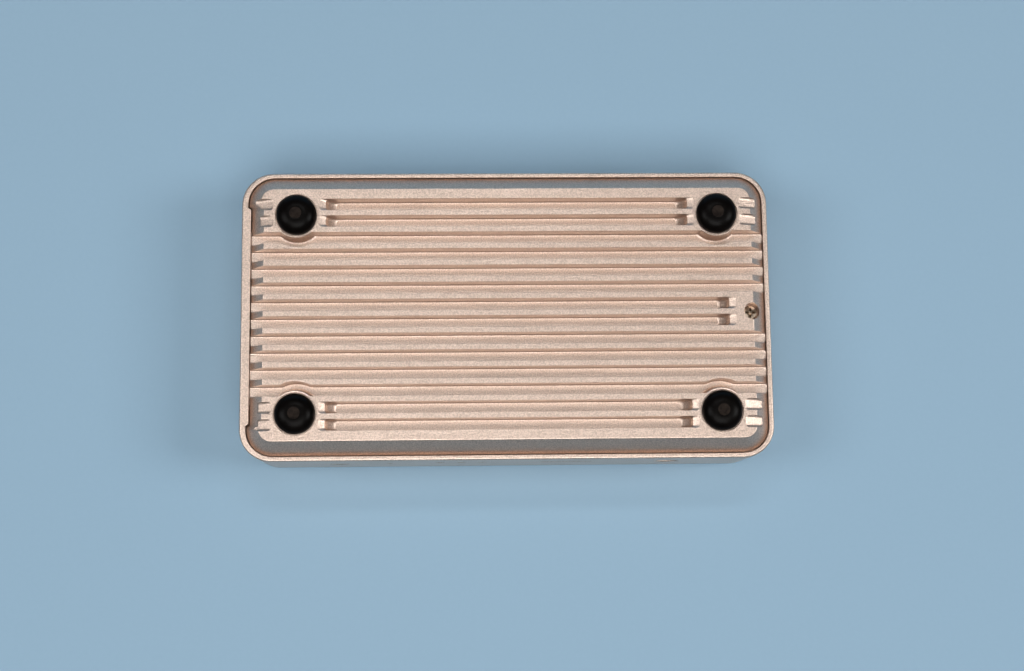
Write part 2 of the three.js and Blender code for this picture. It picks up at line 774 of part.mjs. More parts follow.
function switchBody(x, flangeBack) {
  const tip = plungerSpan(flangeBack)[0];
  const front = tip + tactSwitch.inBore;
  const body = box(...span(x, tactSwitch.width), front - tactSwitch.depth, front,
    buttonZ - tactSwitch.width / 2, boardUnder);
  return body.subtract(levelRod(x, buttonZ, tactSwitch.plunger + tactSwitch.boreGap,
    front - tactSwitch.bore, front + through, sides.small));
}

function lightCentres() {
  const centres = [];
  for (let i = 0; i < light.count; i += 1) {
    centres.push(buttonRow.lights + i * light.pitch);
  }
  return centres;
}

function lightGuide(x) {
  const tip = halfWidth - light.sink;
  return levelRod(x, lightZ, light.radius, tip - light.length, tip, sides.small);
}

function lightChip(x) {
  const front = halfWidth - light.sink - light.length - ports.clearance;
  return box(...span(x, light.chip), front - light.chip / 2, front, lightZ - light.radius / 2, boardUnder);
}

// ---- Assembly --------------------------------------------------------------------------------------------

const group = new THREE.Group();

const looks = {
  anodised: { color: 0xdcbfae, roughness: 0.42, metalness: 0.9 },
  rubber: { color: 0x0b0908, roughness: 0.25, metalness: 0 },
  steel: { color: 0xb9b6b2, roughness: 0.3, metalness: 1 },
  tin: { color: 0xc4c6c8, roughness: 0.28, metalness: 1 },
  board: { color: 0x0d3327, roughness: 0.5, metalness: 0 },
  chip: { color: 0x141416, roughness: 0.45, metalness: 0 },
  black: { color: 0x111112, roughness: 0.5, metalness: 0 },
  blue: { color: 0x1450a0, roughness: 0.45, metalness: 0 },
  pad: { color: 0x8fa3ad, roughness: 0.85, metalness: 0 },
  ferrite: { color: 0x4a4a4c, roughness: 0.6, metalness: 0.1 },
  clear: { color: 0xe9eef0, roughness: 0.12, metalness: 0 },
};

function place(name, body, look) {
  const swapped = body.mirror([0, 1, 0]);
  const mesh = new THREE.Mesh(toGeometry(swapped), new THREE.MeshStandardMaterial(looks[look]));
  mesh.name = name;
  group.add(mesh);
}

place('housing_shell', housingShell(), 'anodised');
place('finned_base', finnedBase(), 'anodised');
eachFoot((x, y) => rubberFoot(x, y)).forEach((body, i) => place(`rubber_foot_${i + 1}`, body, 'rubber'));
place('base_screw', crossScrew(screwX, baseScrew.y, screwSeat, baseScrew, baseScrew.shankLength), 'steel');

place('main_board', mainBoard(), 'board');
standoffs((x, y) => crossScrew(x, y, boardTop, boardScrew, board.thickness + boardScrew.grip))
  .forEach((body, i) => place(`board_screw_${i + 1}`, body, 'steel'));

place('processor', chip(processor.x, processor.y, processor.size, processor.size, processor.height), 'chip');
const padSize = processor.size - 2 * thermalPad.inset;
place('thermal_pad', centredBox(processor.x, processor.y, padSize, padSize,
  boardTop + processor.height, baseBottom - base.pedestal), 'pad');
[-1, 1].forEach((side, i) => {
  const x = processor.x + memory.offset;
  const y = processor.y + (side * memory.spacing) / 2;
  place(`memory_chip_${i + 1}`, chip(x, y, memory.width, memory.length, memory.height), 'chip');
});
for (const { name, x, y, width, length, height } of smallChips) {
  place(name, chip(x, y, width, length, height), 'chip');
}
for (let i = 0; i < inductor.count; i += 1) {
  place(`inductor_${i + 1}`, coil(inductor.x, inductor.y + i * inductor.pitch), 'ferrite');
}
place('clock_battery_holder', batteryHolder(), 'black');
place('clock_battery', clockBattery(), 'steel');
place('storage_socket', slottedSocket(), 'black');
place('debug_header', centredBox(debugHeader.x, debugHeader.y, debugHeader.width, debugHeader.depth,
  boardUnder - debugHeader.height, boardUnder), 'black');

frontPorts.forEach((port, i) => {
  const [outside, inside] = port.make(frontCentres[i]);
  place(`${port.name}_${port.parts[0]}`, outside, 'tin');
  place(`${port.name}_${port.parts[1]}`, inside, port.sizes === usb ? 'blue' : 'black');
});

const [cardCover, cardTray] = cardSocket(buttonRow.card);
place('card_socket_cover', cardCover, 'tin');
place('card_socket_tray', cardTray, 'black');
place('audio_jack', audioJack(buttonRow.audio), 'black');

place('power_button', pushButton(), 'anodised');
place('power_plunger', plunger(buttonRow.power, powerFlangeBack), 'black');
place('power_switch', switchBody(buttonRow.power, powerFlangeBack), 'black');
place('reset_button', resetFlange(), 'black');
place('reset_plunger', plunger(buttonRow.reset, resetFlangeBack), 'black');
place('reset_switch', switchBody(buttonRow.reset, resetFlangeBack), 'black');

lightCentres().forEach((x, i) => {
  place(`light_guide_${i + 1}`, lightGuide(x), 'clear');
  place(`light_chip_${i + 1}`, lightChip(x), 'clear');
});

export default group;
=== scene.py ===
import json
import math
import bmesh
import bpy
from mathutils import Matrix, Vector


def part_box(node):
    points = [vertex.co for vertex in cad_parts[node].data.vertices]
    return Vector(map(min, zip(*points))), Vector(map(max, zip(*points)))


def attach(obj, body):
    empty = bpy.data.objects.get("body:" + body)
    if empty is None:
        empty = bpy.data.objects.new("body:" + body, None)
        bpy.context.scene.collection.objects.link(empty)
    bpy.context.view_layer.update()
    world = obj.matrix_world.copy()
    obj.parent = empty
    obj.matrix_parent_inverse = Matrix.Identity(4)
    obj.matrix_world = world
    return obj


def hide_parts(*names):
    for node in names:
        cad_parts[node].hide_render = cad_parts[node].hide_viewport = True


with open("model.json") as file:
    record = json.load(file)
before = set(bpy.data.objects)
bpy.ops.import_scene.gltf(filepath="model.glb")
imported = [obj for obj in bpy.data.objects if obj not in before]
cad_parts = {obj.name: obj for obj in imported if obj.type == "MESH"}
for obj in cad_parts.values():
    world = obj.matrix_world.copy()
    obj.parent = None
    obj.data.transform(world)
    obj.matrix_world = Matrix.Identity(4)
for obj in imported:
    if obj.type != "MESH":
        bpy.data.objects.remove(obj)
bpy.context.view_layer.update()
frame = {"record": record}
mm = 0.001
scene = bpy.context.scene

print("stage: helpers")


class Wire:  # a node socket that takes part in ordinary arithmetic
    def __init__(self, tree, socket=None):
        self.tree = tree
        self.socket = socket

    def make(self, kind, settings=None, inputs=None, out=0):
        node = self.tree.nodes.new(kind)
        for key, value in (settings or {}).items():
            setattr(node, key, value)
        for key, value in (inputs or {}).items():
            self.plug(node.inputs[key], value)
        return Wire(self.tree, node.outputs[out])

    def plug(self, socket, value):
        if isinstance(value, Wire):
            self.tree.links.new(value.socket, socket)
        else:
            socket.default_value = value

    def maths(self, operation, *values):
        settings = {"operation": operation}
        return self.make("ShaderNodeMath", settings, dict(enumerate(values)))

    def __add__(self, other):
        return self.maths("ADD", self, other)

    def __radd__(self, other):
        return self.maths("ADD", other, self)

    def __sub__(self, other):
        return self.maths("SUBTRACT", self, other)

    def __rsub__(self, other):
        return self.maths("SUBTRACT", other, self)

    def __mul__(self, other):
        return self.maths("MULTIPLY", self, other)

    def __rmul__(self, other):
        return self.maths("MULTIPLY", other, self)

    def __truediv__(self, other):
        return self.maths("DIVIDE", self, other)

    def __rtruediv__(self, other):
        return self.maths("DIVIDE", other, self)

    def __pow__(self, other):
        return self.maths("POWER", self, other)

    def __gt__(self, other):
        return self.maths("GREATER_THAN", self, other)

    def __lt__(self, other):
        return self.maths("LESS_THAN", self, other)

    def floor(self):
        return self.maths("FLOOR", self)

    def fract(self):
        return self.maths("FRACT", self)

    def between(self, low, high):  # 0 below low, 1 above high, smooth in between
        settings = {"interpolation_type": "SMOOTHSTEP"}
        return self.make("ShaderNodeMapRange", settings, {"Value": self, "From Min": low, "From Max": high})

    def blend(self, first, second):  # colour from first to second as this goes from 0 to 1
        return self.make("ShaderNodeMix", {"data_type": "RGBA"}, {0: self, 6: first, 7: second}, 2)

    def noise(self, scale, detail=2.0, rough=0.5):
        inputs = {"Vector": self, "Scale": scale, "Detail": detail, "Roughness": rough}
        return self.make("ShaderNodeTexNoise", {}, inputs)

    def cells(self, scale):
        return self.make("ShaderNodeTexVoronoi", {}, {"Vector": self, "Scale": scale})

    def stretched(self, x, y, z):
        settings = {"operation": "MULTIPLY"}
        return self.make("ShaderNodeVectorMath", settings, {0: self, 1: (x, y, z)})

    def axis(self, index):
        return self.make("ShaderNodeSeparateXYZ", {}, {0: self}, index)

    def bump(self, strength, distance):
        inputs = {"Strength": strength, "Distance": distance, "Height": self}
        return self.make("ShaderNodeBump", {}, inputs)


def grey(value):
    return (value, value, value, 1.0)


def makeMaterial(name, constants, look):
    material = bpy.data.materials.new(name)
    material.use_nodes = True
    tree = material.node_tree
    tree.nodes.clear()
    shader = tree.nodes.new("ShaderNodeBsdfPrincipled")
    output = tree.nodes.new("ShaderNodeOutputMaterial")
    tree.links.new(shader.outputs[0], output.inputs[0])
    for key, value in constants.items():
        shader.inputs[key].default_value = value
    place = Wire(tree).make("ShaderNodeTexCoord", out=3)
    for key, value in look(place).items():
        place.plug(shader.inputs[key], value)
    material.diffuse_color = constants.get("Base Color", grey(0.5))
    return material


def makeObject(name, verts, faces):
    mesh = bpy.data.meshes.new(name)
    mesh.from_pydata([Vector(v) * mm for v in verts], [], faces)
    sheet = bmesh.new()
    sheet.from_mesh(mesh)
    bmesh.ops.recalc_face_normals(sheet, faces=sheet.faces)
    sheet.to_mesh(mesh)
    sheet.free()
    thing = bpy.data.objects.new(name, mesh)
    scene.collection.objects.link(thing)
    return thing


def ringAt(outline, level, axis="Z"):
    if axis == "Z":
        return [(a, b, level) for a, b in outline]
    if axis == "Y":
        return [(a, level, b) for a, b in outline]
    return [(level, a, b) for a, b in outline]


def loft(name, rings):  # a closed body through rings of equal count
    count = len(rings[0])
    verts = [point for one in rings for point in one]
    faces = [tuple(range(count)), tuple(range(len(verts) - count, len(verts)))]
    for level in range(len(rings) - 1):
        low = level * count
        for i in range(count):
            j = (i + 1) % count
            faces.append((low + i, low + j, low + count + j, low + count + i))
    return makeObject(name, verts, faces)


def lathe(name, profile, centre, steps=48, axis="Z"):  # profile of (radius, level), axis to axis
    verts = []
    faces = []
    rows = []
    for radius, level in profile:
        if radius < 1e-6:
            rows.append([len(verts)] * steps)
            circle = [(0.0, 0.0)]
        else:
            rows.append([len(verts) + i for i in range(steps)])
            circle = [(radius * math.cos(2 * math.pi * i / steps), radius * math.sin(2 * math.pi * i / steps))
                      for i in range(steps)]
        for a, b in circle:
            if axis == "Z":
                verts.append((centre[0] + a, centre[1] + b, level))
            else:
                verts.append((centre[0] + a, level, centre[1] + b))
    for low, high in zip(rows, rows[1:]):
        for i in range(steps):
            j = (i + 1) % steps
            corners = dict.fromkeys((low[i], low[j], high[j], high[i]))
            if len(corners) > 2:
                faces.append(tuple(corners))
    return makeObject(name, verts, faces)


def drill(name, radius, low, high, centre, steps, axis="Z"):
    return lathe(name, [(0, low), (radius, low), (radius, high), (0, high)], centre, steps, axis)


def roundRect(x0, x1, y0, y1, radius, steps=10):
    points = []
    for cx, cy, start in ((x1 - radius, y1 - radius, 0), (x0 + radius, y1 - radius, 90),
                          (x0 + radius, y0 + radius, 180), (x1 - radius, y0 + radius, 270)):
        for step in range(steps + 1):
            angle = math.radians(start + 90 * step / steps)
            points.append((cx + radius * math.cos(angle), cy + radius * math.sin(angle)))
    return points


def softBlock(name, x0, x1, y0, y1, z0, z1, edge=0.1, corner=0.0, axis="Z", steps=3):
    low, high = {"Z": (z0, z1), "Y": (y0, y1), "X": (x0, x1)}[axis]
    sides = {"Z": (x0, x1, y0, y1), "Y": (x0, x1, z0, z1), "X": (y0, y1, z0, z1)}[axis]
    corner = max(corner, edge * 1.05)
    rings = []
    for end, sign in ((low, 1), (high, -1)):
        span = range(steps + 1) if sign > 0 else range(steps, -1, -1)
        for step in span:
            angle = math.radians(90 * step / steps)
            inset = edge * (1 - math.sin(angle))
            outline = roundRect(sides[0] + inset, sides[1] - inset, sides[2] + inset, sides[3] - inset,
                                corner - inset, 4)
            rings.append(ringAt(outline, end + sign * edge * (1 - math.cos(angle)), axis))
    return loft(name, rings)


def evaluated(thing):  # the finished mesh without its modifiers
    graph = bpy.context.evaluated_depsgraph_get()
    mesh = bpy.data.meshes.new_from_object(thing.evaluated_get(graph), depsgraph=graph)
    old = thing.data
    thing.modifiers.clear()
    thing.data = mesh
    bpy.data.meshes.remove(old)
    return thing


def discard(things):
    for thing in things:
        bpy.data.objects.remove(thing, do_unlink=True)


def combine(thing, others, operation):
    for other in others:
        step = thing.modifiers.new("step", "BOOLEAN")
        step.solver = "MANIFOLD"
        step.operation = operation
        step.object = other
    evaluated(thing)
    discard(others)
    return thing


def carve(thing, others):
    return combine(thing, others, "DIFFERENCE")


def weld(thing, others):
    return combine(thing, others, "UNION")


def smooth(thing, angle=30):
    thing.data.shade_smooth()
    thing.data.set_sharp_from_angle(angle=math.radians(angle))
    even = thing.modifiers.new("even", "WEIGHTED_NORMAL")
    even.keep_sharp = True
    return evaluated(thing)


def paint(thing, material):
    thing.data.materials.clear()
    thing.data.materials.append(material)
    return thing


def gather(name, things):  # several bodies in one object
    sheet = bmesh.new()
    mesh = bpy.data.meshes.new(name)
    slots = []
    for thing in things:
        start = len(sheet.faces)
        sheet.from_mesh(thing.data)
        own = [slot for slot in thing.data.materials]
        for slot in own:
            if slot not in slots:
                slots.append(slot)
        sheet.faces.ensure_lookup_table()
        for face in sheet.faces[start:]:
            if own:
                face.material_index = slots.index(own[min(face.material_index, len(own) - 1)])
    sheet.to_mesh(mesh)
    sheet.free()
    for slot in slots:
        mesh.materials.append(slot)
    whole = bpy.data.objects.new(name, mesh)
    scene.collection.objects.link(whole)
    discard(things)
    return whole


def finish(thing, body, slot, *nodes):
    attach(thing, body)
    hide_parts(*nodes)
    return thing


def dress(shape, material, body, slotName, *nodes):
    return finish(smooth(paint(shape, material)), body, slotName, *nodes)


def boxOf(node):
    low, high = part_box(node)
    return low / mm, high / mm


def spans(low, high):  # x, x, y, y, z, z as a block takes them
    return low.x, high.x, low.y, high.y, low.z, high.z


def middle(low, high):
    return tuple((a + b) / 2 for a, b in zip(low, high))


def newTree(name, sockets):
    tree = bpy.data.node_groups.new(name, "GeometryNodeTree")
    for label, kind in sockets:
        tree.interface.new_socket(label, in_out="INPUT", socket_type="NodeSocket" + kind)
    tree.interface.new_socket("Geometry", in_out="OUTPUT", socket_type="NodeSocketGeometry")
    start = tree.nodes.new("NodeGroupInput")
    wires = {label: Wire(tree, start.outputs[label]) for label, kind in sockets}
    return tree, wires


def endTree(tree, geometry, material):
    real = geometry.make("GeometryNodeRealizeInstances", {}, {0: geometry})
    painted = real.make("GeometryNodeSetMaterial", {}, {"Geometry": real, "Material": material})
    end = tree.nodes.new("NodeGroupOutput")
    painted.plug(end.inputs[0], painted)
    return tree


def pointsOnLine(wires):
    return wires["Count"].make("GeometryNodeMeshLine", {}, {
        "Count": wires["Count"], "Start Location": wires["First"], "Offset": wires["Pitch"]})


def copiesOf(wires, points, extra=None):
    shape = wires["Shape"].make("GeometryNodeObjectInfo", {}, {"Object": wires["Shape"]}, "Geometry")
    inputs = {"Points": points, "Instance": shape}
    inputs.update(extra or {})
    return points.make("GeometryNodeInstanceOnPoints", {}, inputs)


def lessCopies(wires, copies):
    solid = copies.make("GeometryNodeRealizeInstances", {}, {0: copies})
    return solid.make("GeometryNodeMeshBoolean", {"operation": "DIFFERENCE", "solver": "MANIFOLD"},
                      {"Mesh 1": wires["Geometry"], "Mesh 2": solid})


def rowCutTree():  # a shape cut out again and again along a line
    tree, wires = newTree("rowCut", (("Geometry", "Geometry"), ("Shape", "Object"), ("Count", "Int"),
                                     ("First", "Vector"), ("Pitch", "Vector"), ("Finish", "Material")))
    copies = copiesOf(wires, pointsOnLine(wires))
    return endTree(tree, lessCopies(wires, copies), wires["Finish"])


def ringCutTree():  # a shape cut out again and again round an upright axis
    tree, wires = newTree("ringCut", (("Geometry", "Geometry"), ("Shape", "Object"), ("Count", "Int"),
                                      ("Centre", "Vector"), ("Finish", "Material")))
    points = wires["Count"].make("GeometryNodePoints", {},
                                 {"Count": wires["Count"], "Position": wires["Centre"]})
    index = points.make("GeometryNodeInputIndex")
    turn = index / wires["Count"] * (2 * math.pi)
    spin = turn.make("ShaderNodeCombineXYZ", {}, {"Z": turn})
    copies = copiesOf(wires, points, {"Rotation": spin})
    return endTree(tree, lessCopies(wires, copies), wires["Finish"])


def rowTree():  # a shape repeated along a line
    tree, wires = newTree("row", (("Geometry", "Geometry"), ("Shape", "Object"), ("Count", "Int"),
                                  ("First", "Vector"), ("Pitch", "Vector"), ("Finish", "Material")))
    return endTree(tree, copiesOf(wires, pointsOnLine(wires)), wires["Finish"])


def grow(thing, tree, **values):  # adds one tree to a thing with its inputs set
    step = thing.modifiers.new(tree.name, "NODES")
    step.node_group = tree
    for item in tree.interface.items_tree:
        if item.in_out == "INPUT" and item.name in values:
            step[item.identifier] = values[item.name]
    return thing


rowCut = rowCutTree()
ringCut = ringCutTree()
row = rowTree()

print("stage: materials")


def anodisedLook(place):  # bead-blasted, then anodised
    beads = place.noise(3300, 0.5, 0.5).between(0.28, 0.72)
    fine = place.noise(7500, 1.0)
    cloud = place.noise(60, 3.0)
    return {
        "Base Color": (cloud * 0.2 + beads * 0.8).blend((0.550, 0.428, 0.355, 1), (0.785, 0.627, 0.532, 1)),
        "Roughness": 0.31 + fine * 0.08 + cloud * 0.03,
        "Normal": (beads * 0.6 + fine * 0.4).bump(1.0, 0.000036),
    }


anodised = makeMaterial("anodised", {"Metallic": 0.92, "Base Color": (0.75, 0.60, 0.51, 1)}, anodisedLook)


def rubberLook(place):
    skin = place.noise(3000, 3.0)
    smudge = place.noise(350, 3.0)
    return {
        "Base Color": smudge.blend((0.0012, 0.0010, 0.0010, 1), (0.0045, 0.0035, 0.0030, 1)),
        "Roughness": 0.24 + smudge * 0.12,
        "Normal": skin.bump(0.12, 0.00003),
    }


def tipHighlightLook(place):  # the flat tips are painted paler: a painted highlight
    wearAndGlint = place.noise(900, 3.0).between(0.25, 0.75)
    return {
        "Base Color": wearAndGlint.blend((0.010, 0.007, 0.006, 1), (0.026, 0.019, 0.015, 1)),
        "Roughness": 0.55 + wearAndGlint * 0.15,
        "Normal": wearAndGlint.bump(0.3, 0.00003),
    }


rubber = makeMaterial("rubber", {"Specular IOR Level": 0.05, "Base Color": (0.003, 0.002, 0.002, 1)},
                      rubberLook)
paintedTipHighlight = makeMaterial("paintedTipHighlight", {"Specular IOR Level": 0.05, "Base Color": (0.024, 0.018, 0.015, 1)},
                         tipHighlightLook)


def steelLook(place):
    turned = place.noise(2600, 3.0)
    wearAndGlint = place.noise(700, 4.0, 0.6)
    return {
        "Base Color": wearAndGlint.blend((0.36, 0.32, 0.29, 1), (0.60, 0.55, 0.51, 1)),
        "Roughness": 0.18 + turned * 0.20,
        "Normal": turned.bump(0.25, 0.00002),
    }


steel = makeMaterial("steel", {"Metallic": 1.0, "Base Color": (0.6, 0.58, 0.56, 1)}, steelLook)


def bronzeLook(place):  # dark plating, with bright patches painted in as glints
    swirl = place.noise(1100, 4.0)
    wearAndGlint = place.noise(900, 2.0).between(0.42, 0.58)
    return {
        # the bright end of this blend is a painted glint
        "Base Color": wearAndGlint.blend((0.22, 0.16, 0.11, 1), (0.85, 0.68, 0.52, 1)),
        "Roughness": 0.22 + swirl * 0.18,
        "Normal": swirl.bump(0.5, 0.00006),
    }


bronze = makeMaterial("bronze", {"Metallic": 1.0, "Base Color": (0.4, 0.3, 0.22, 1)}, bronzeLook)


def tinLook(place):
    drawn = place.stretched(1, 12, 1).noise(1500, 3.0)
    smudge = place.noise(240, 3.0)
    return {
        "Base Color": drawn.blend((0.52, 0.53, 0.54, 1), (0.68, 0.69, 0.70, 1)),
        "Roughness": 0.20 + drawn * 0.10 + smudge * 0.10,
        "Normal": drawn.bump(0.18, 0.00002),
    }


tin = makeMaterial("tin", {"Metallic": 1.0, "Base Color": (0.6, 0.61, 0.62, 1)}, tinLook)


def goldLook(place):
    wipe = place.stretched(6, 1, 1).noise(2200, 2.0)
    return {
        "Base Color": wipe.blend((0.72, 0.47, 0.17, 1), (0.86, 0.62, 0.28, 1)),
        "Roughness": 0.18 + wipe * 0.14,
    }


gold = makeMaterial("gold", {"Metallic": 1.0, "Base Color": (0.8, 0.56, 0.22, 1)}, goldLook)


def plasticLook(dark, light, grainScale=4500):
    def look(place):
        grain = place.noise(grainScale, 3.0, 0.6)
        patch = place.noise(300, 2.0)
        return {
            "Base Color": patch.blend(dark, light),
            "Roughness": 0.34 + grain * 0.18 + patch * 0.06,
            "Normal": grain.bump(0.22, 0.00003),
        }
    return look


black = makeMaterial("black", {"Base Color": grey(0.015)}, plasticLook(grey(0.011), grey(0.021)))
blue = makeMaterial("blue", {"Base Color": (0.02, 0.09, 0.35, 1)},
                    plasticLook((0.016, 0.075, 0.31, 1), (0.024, 0.10, 0.40, 1)))
chipBlack = makeMaterial("chip", {"Base Color": grey(0.02)},
                         plasticLook((0.016, 0.016, 0.018, 1), (0.027, 0.027, 0.030, 1), 9000))
ceramic = makeMaterial("ceramic", {"Base Color": (0.30, 0.20, 0.12, 1)},
                       plasticLook((0.24, 0.15, 0.085, 1), (0.36, 0.25, 0.16, 1), 6000))
substrate = makeMaterial("substrate", {"Base Color": (0.02, 0.09, 0.05, 1)},
                         plasticLook((0.012, 0.060, 0.035, 1), (0.022, 0.095, 0.055, 1), 5000))
padFoam = makeMaterial("pad", {"Base Color": (0.30, 0.38, 0.43, 1)},
                       plasticLook((0.26, 0.33, 0.38, 1), (0.34, 0.43, 0.48, 1), 2500))
ferrite = makeMaterial("ferrite", {"Base Color": grey(0.09)},
                       plasticLook(grey(0.07), grey(0.13), 7000))
phosphor = makeMaterial("phosphor", {"Base Color": (0.85, 0.72, 0.30, 1)},
                        plasticLook((0.80, 0.66, 0.24, 1), (0.90, 0.80, 0.42, 1), 5000))


def clearLook(place):
    flow = place.stretched(1, 0.3, 1).noise(900, 3.0)
    return {
        "Base Color": flow.blend((0.78, 0.83, 0.85, 1), (0.92, 0.95, 0.96, 1)),
        "Roughness": 0.10 + flow * 0.18,
        "Normal": flow.bump(0.15, 0.00003),
    }


clear = makeMaterial("clear", {"Transmission Weight": 0.35, "IOR": 1.49}, clearLook)


def boardLook(place):
    x = place.axis(0) * 1000
    y = place.axis(1) * 1000
    blockX = (x / 5.2).floor()
    blockY = (y / 4.1).floor()
    spot = blockX.make("ShaderNodeCombineXYZ", {}, {"X": blockX, "Y": blockY})
    chance = spot.make("ShaderNodeTexWhiteNoise", {"noise_dimensions": "3D"}, {"Vector": spot})
    upright = chance > 0.5
    used = (chance * 7.0).fract() > 0.25
    across = x * upright + y * (1 - upright)
    ripple = (across / 0.5).fract() - 0.5
    track = ripple.maths("ABSOLUTE", ripple).between(0.12, 0.17)
    track = (1 - track) * used
    pour = place.cells(260).between(0.30, 0.34)
    weave = place.noise(2600, 2.0)
    height = track * 0.6 + pour * 0.3 + weave * 0.2
    shade = (track * 0.7 + pour * 0.3).blend((0.006, 0.022, 0.018, 1), (0.014, 0.050, 0.038, 1))
    return {
        "Base Color": shade,
        "Roughness": 0.30 + weave * 0.14 + track * 0.05,
        "Normal": height.bump(0.6, 0.00003),
    }


boardMask = makeMaterial("board", {"Base Color": (0.012, 0.035, 0.028, 1)}, boardLook)

print("stage: finned base")

base = {
    "top": 25.3, "edgeTop": 21.7, "bottom": 19.7, "floor": 21.55,
    "pitch": 4.0, "half": 1.35, "draft": 0.12, "fillet": 0.35, "edge": 0.07, "shoulder": (1.45, 0.6),
        "runOut": 3.8, "ramp": 9.0, "endRound": 0.75,
    "slope": 3.2, "corner": 6.15, "land": 5.4, "bulge": 7.6, "seat": 5.0, "seatDepth": 0.6,
    "pedestal": 0.3, "stepIn": 25.75, "stepOut": 26.24, "bore": 1.98, "hole": 1.2, "screwSeat": 1.2,
}
baseLow, baseHigh = boxOf("finned_base")
plateX = (-60.15, baseHigh.x)
plateY = baseHigh.y
cornerX = -60.85
footAt = [(sum(v) / 2 for v in zip(*boxOf("rubber_foot_%d" % i))) for i in (1, 2, 3, 4)]
footAt = [tuple(centre)[:2] for centre in footAt]
footY = abs(footAt[0][1])
screwLow, screwHigh = boxOf("base_screw")
screwX = (screwLow.x + screwHigh.x) / 2


def steppedOutline(left, leftCorner, right, side, radius, stepIn, stepOut, inset=0.0, steps=10):
    outline = roundRect(leftCorner + inset, right - inset, inset - side, side - inset, radius - inset, steps)
    turn = 2 * (steps + 1)  # the left side lies after the second corner
    step = [(leftCorner + inset, stepOut + inset * 0.4), (left + inset, stepIn),
            (left + inset, -stepIn), (leftCorner + inset, -stepOut - inset * 0.4)]
    return outline[:turn] + step + outline[turn:]


def plateOutline(inset):
    return steppedOutline(plateX[0], cornerX, plateX[1], plateY, base["corner"],
                          base["stepIn"], base["stepOut"], inset)


def blockOutline(inset):  # like the plate, a little further in
    return plateOutline(inset + 0.02)


def curveBetween(start, bend, end, steps=4):  # a soft corner between two straight runs
    points = []
    for step in range(steps + 1):
        t = step / steps
        points.append(tuple((1 - t) ** 2 * a + 2 * t * (1 - t) * b + t * t * c
                            for a, b, c in zip(start, bend, end)))
    return points


def runOut(level):  # how far a closed end has come in: a gentle shoulder, then a steep drop
    down = max(0.0, base["top"] - level)
    wide, deep = base["shoulder"]
    if down < deep:
        return wide * down / deep
    rest = (down - deep) / (base["top"] - base["floor"] - deep)
    return wide + (base["runOut"] - wide) * rest ** 2.2


def grooveLevels():  # (half width, end inset, level) from above the ribs down to the floor
    top, floor, half, edge = base["top"], base["floor"], base["half"], base["edge"]
    draft, fillet = base["draft"], base["fillet"]
    levels = [(half + edge, -edge, top + 0.8)]
    for step in range(5):
        angle = math.radians(90 * step / 4)
        out = edge * (1 - math.sin(angle))
        levels.append((half + out, -out, top - edge + edge * math.cos(angle)))
    bend = floor + fillet
    for level in (top - 0.3, top - 0.55, top - 0.62, top - 0.8, top - 1.2, top - 1.7, top - 2.1, top - 2.5,
                  bend):
        levels.append((half - draft * (top - level) / (top - bend), runOut(level), level))
    for step in range(1, 7):
        angle = math.radians(90 * step / 6)
        level = bend - fillet * math.sin(angle)
        levels.append((half - draft - fillet * (1 - math.cos(angle)), runOut(level), level))
    return levels


def grooveCutter(name, x0, x1, ramp):  # a short groove beside a foot runs out as one even ramp
    rings = []
    for half, end, level in grooveLevels():
        if ramp:
            end = ramp * (base["top"] - level) / (base["top"] - base["floor"])
        rings.append(ringAt(roundRect(x0 + end, x1 - end, -half, half, min(base["endRound"], half * 0.95),
                                      12), level))
    return loft(name, rings)


def bulgeCutter(name, x, y):  # the part of a disc between the foot and the next rib
    toFloor = footY - 18.0
    sign = -1 if y > 0 else 1
    rings = []
    for half, _, level in grooveLevels():
        radius = base["bulge"] + half - base["half"]
        reach = math.acos(toFloor / radius)
        arc = []
        for step in range(29):
            angle = -reach + 2 * reach * step / 28
            arc.append((x + radius * math.sin(angle), y + sign * radius * math.cos(angle)))
        rings.append(ringAt(arc, level))
    return loft(name, rings)


def footLand(name, x, y):  # its skirt runs out into the grooves round it
    top, land = base["top"], base["land"]
    profile = [(0, base["edgeTop"] - 1), (land + 0.9, base["edgeTop"] - 1), (land + 0.9, top - 3.73),
               (land + 0.55, top - 3.6), (land + 0.3, top - 3.2), (land + 0.18, top - 2.4),
               (land + 0.13, top - 1.4),
               (land + 0.08, top - 0.45), (land + 0.03, top - 0.07), (land - 0.05, top), (0, top)]
    return lathe(name, profile, (x, y), 64)


slopeRun = base["slope"]
plateRings = [ringAt(plateOutline(0.25), base["bottom"]), ringAt(plateOutline(0), base["bottom"] + 0.25)]
plateRings += [ringAt(plateOutline(i), z) for i, z in
               curveBetween((0, base["edgeTop"] - 0.15), (0, base["edgeTop"]), (0.15, base["edgeTop"]))]
basePlate = loft("finnedBase", plateRings)
blockRings = [ringAt(blockOutline(0.02), base["edgeTop"] - 1)]
blockRings += [ringAt(blockOutline(i), z) for i, z in
               curveBetween((0.02, base["edgeTop"] - 0.12), (0.02, base["edgeTop"]),
                            (0.12, base["edgeTop"] + 0.10))]
blockRings += [ringAt(blockOutline(i), z) for i, z in
               curveBetween((slopeRun - 0.10, base["top"] - 0.1125), (slopeRun, base["top"]),
                            (slopeRun + 0.15, base["top"]))]
block = loft("block", blockRings)
weld(basePlate, [block])
openLeft, openRight = cornerX - 3.7, plateX[1] + 3.7  # well past the slopes
land = base["land"]
footLeft, footRight = footAt[0][0], footAt[2][0]
grooves = [  # x from, x to, first row, rows, ramp
    (openLeft, openRight, -18, 4, 0), (openLeft, openRight, 6, 4, 0), (openLeft, plateX[1] - 7.3, -2, 2, 0),
]
for first in (-26, 22):
    grooves.append((openLeft - base["ramp"], footLeft - land, first, 2, base["ramp"]))
    grooves.append((footLeft + land, footRight - land, first, 2, 0))
    grooves.append((footRight + land, openRight + base["ramp"], first, 2, base["ramp"]))
cutters = []
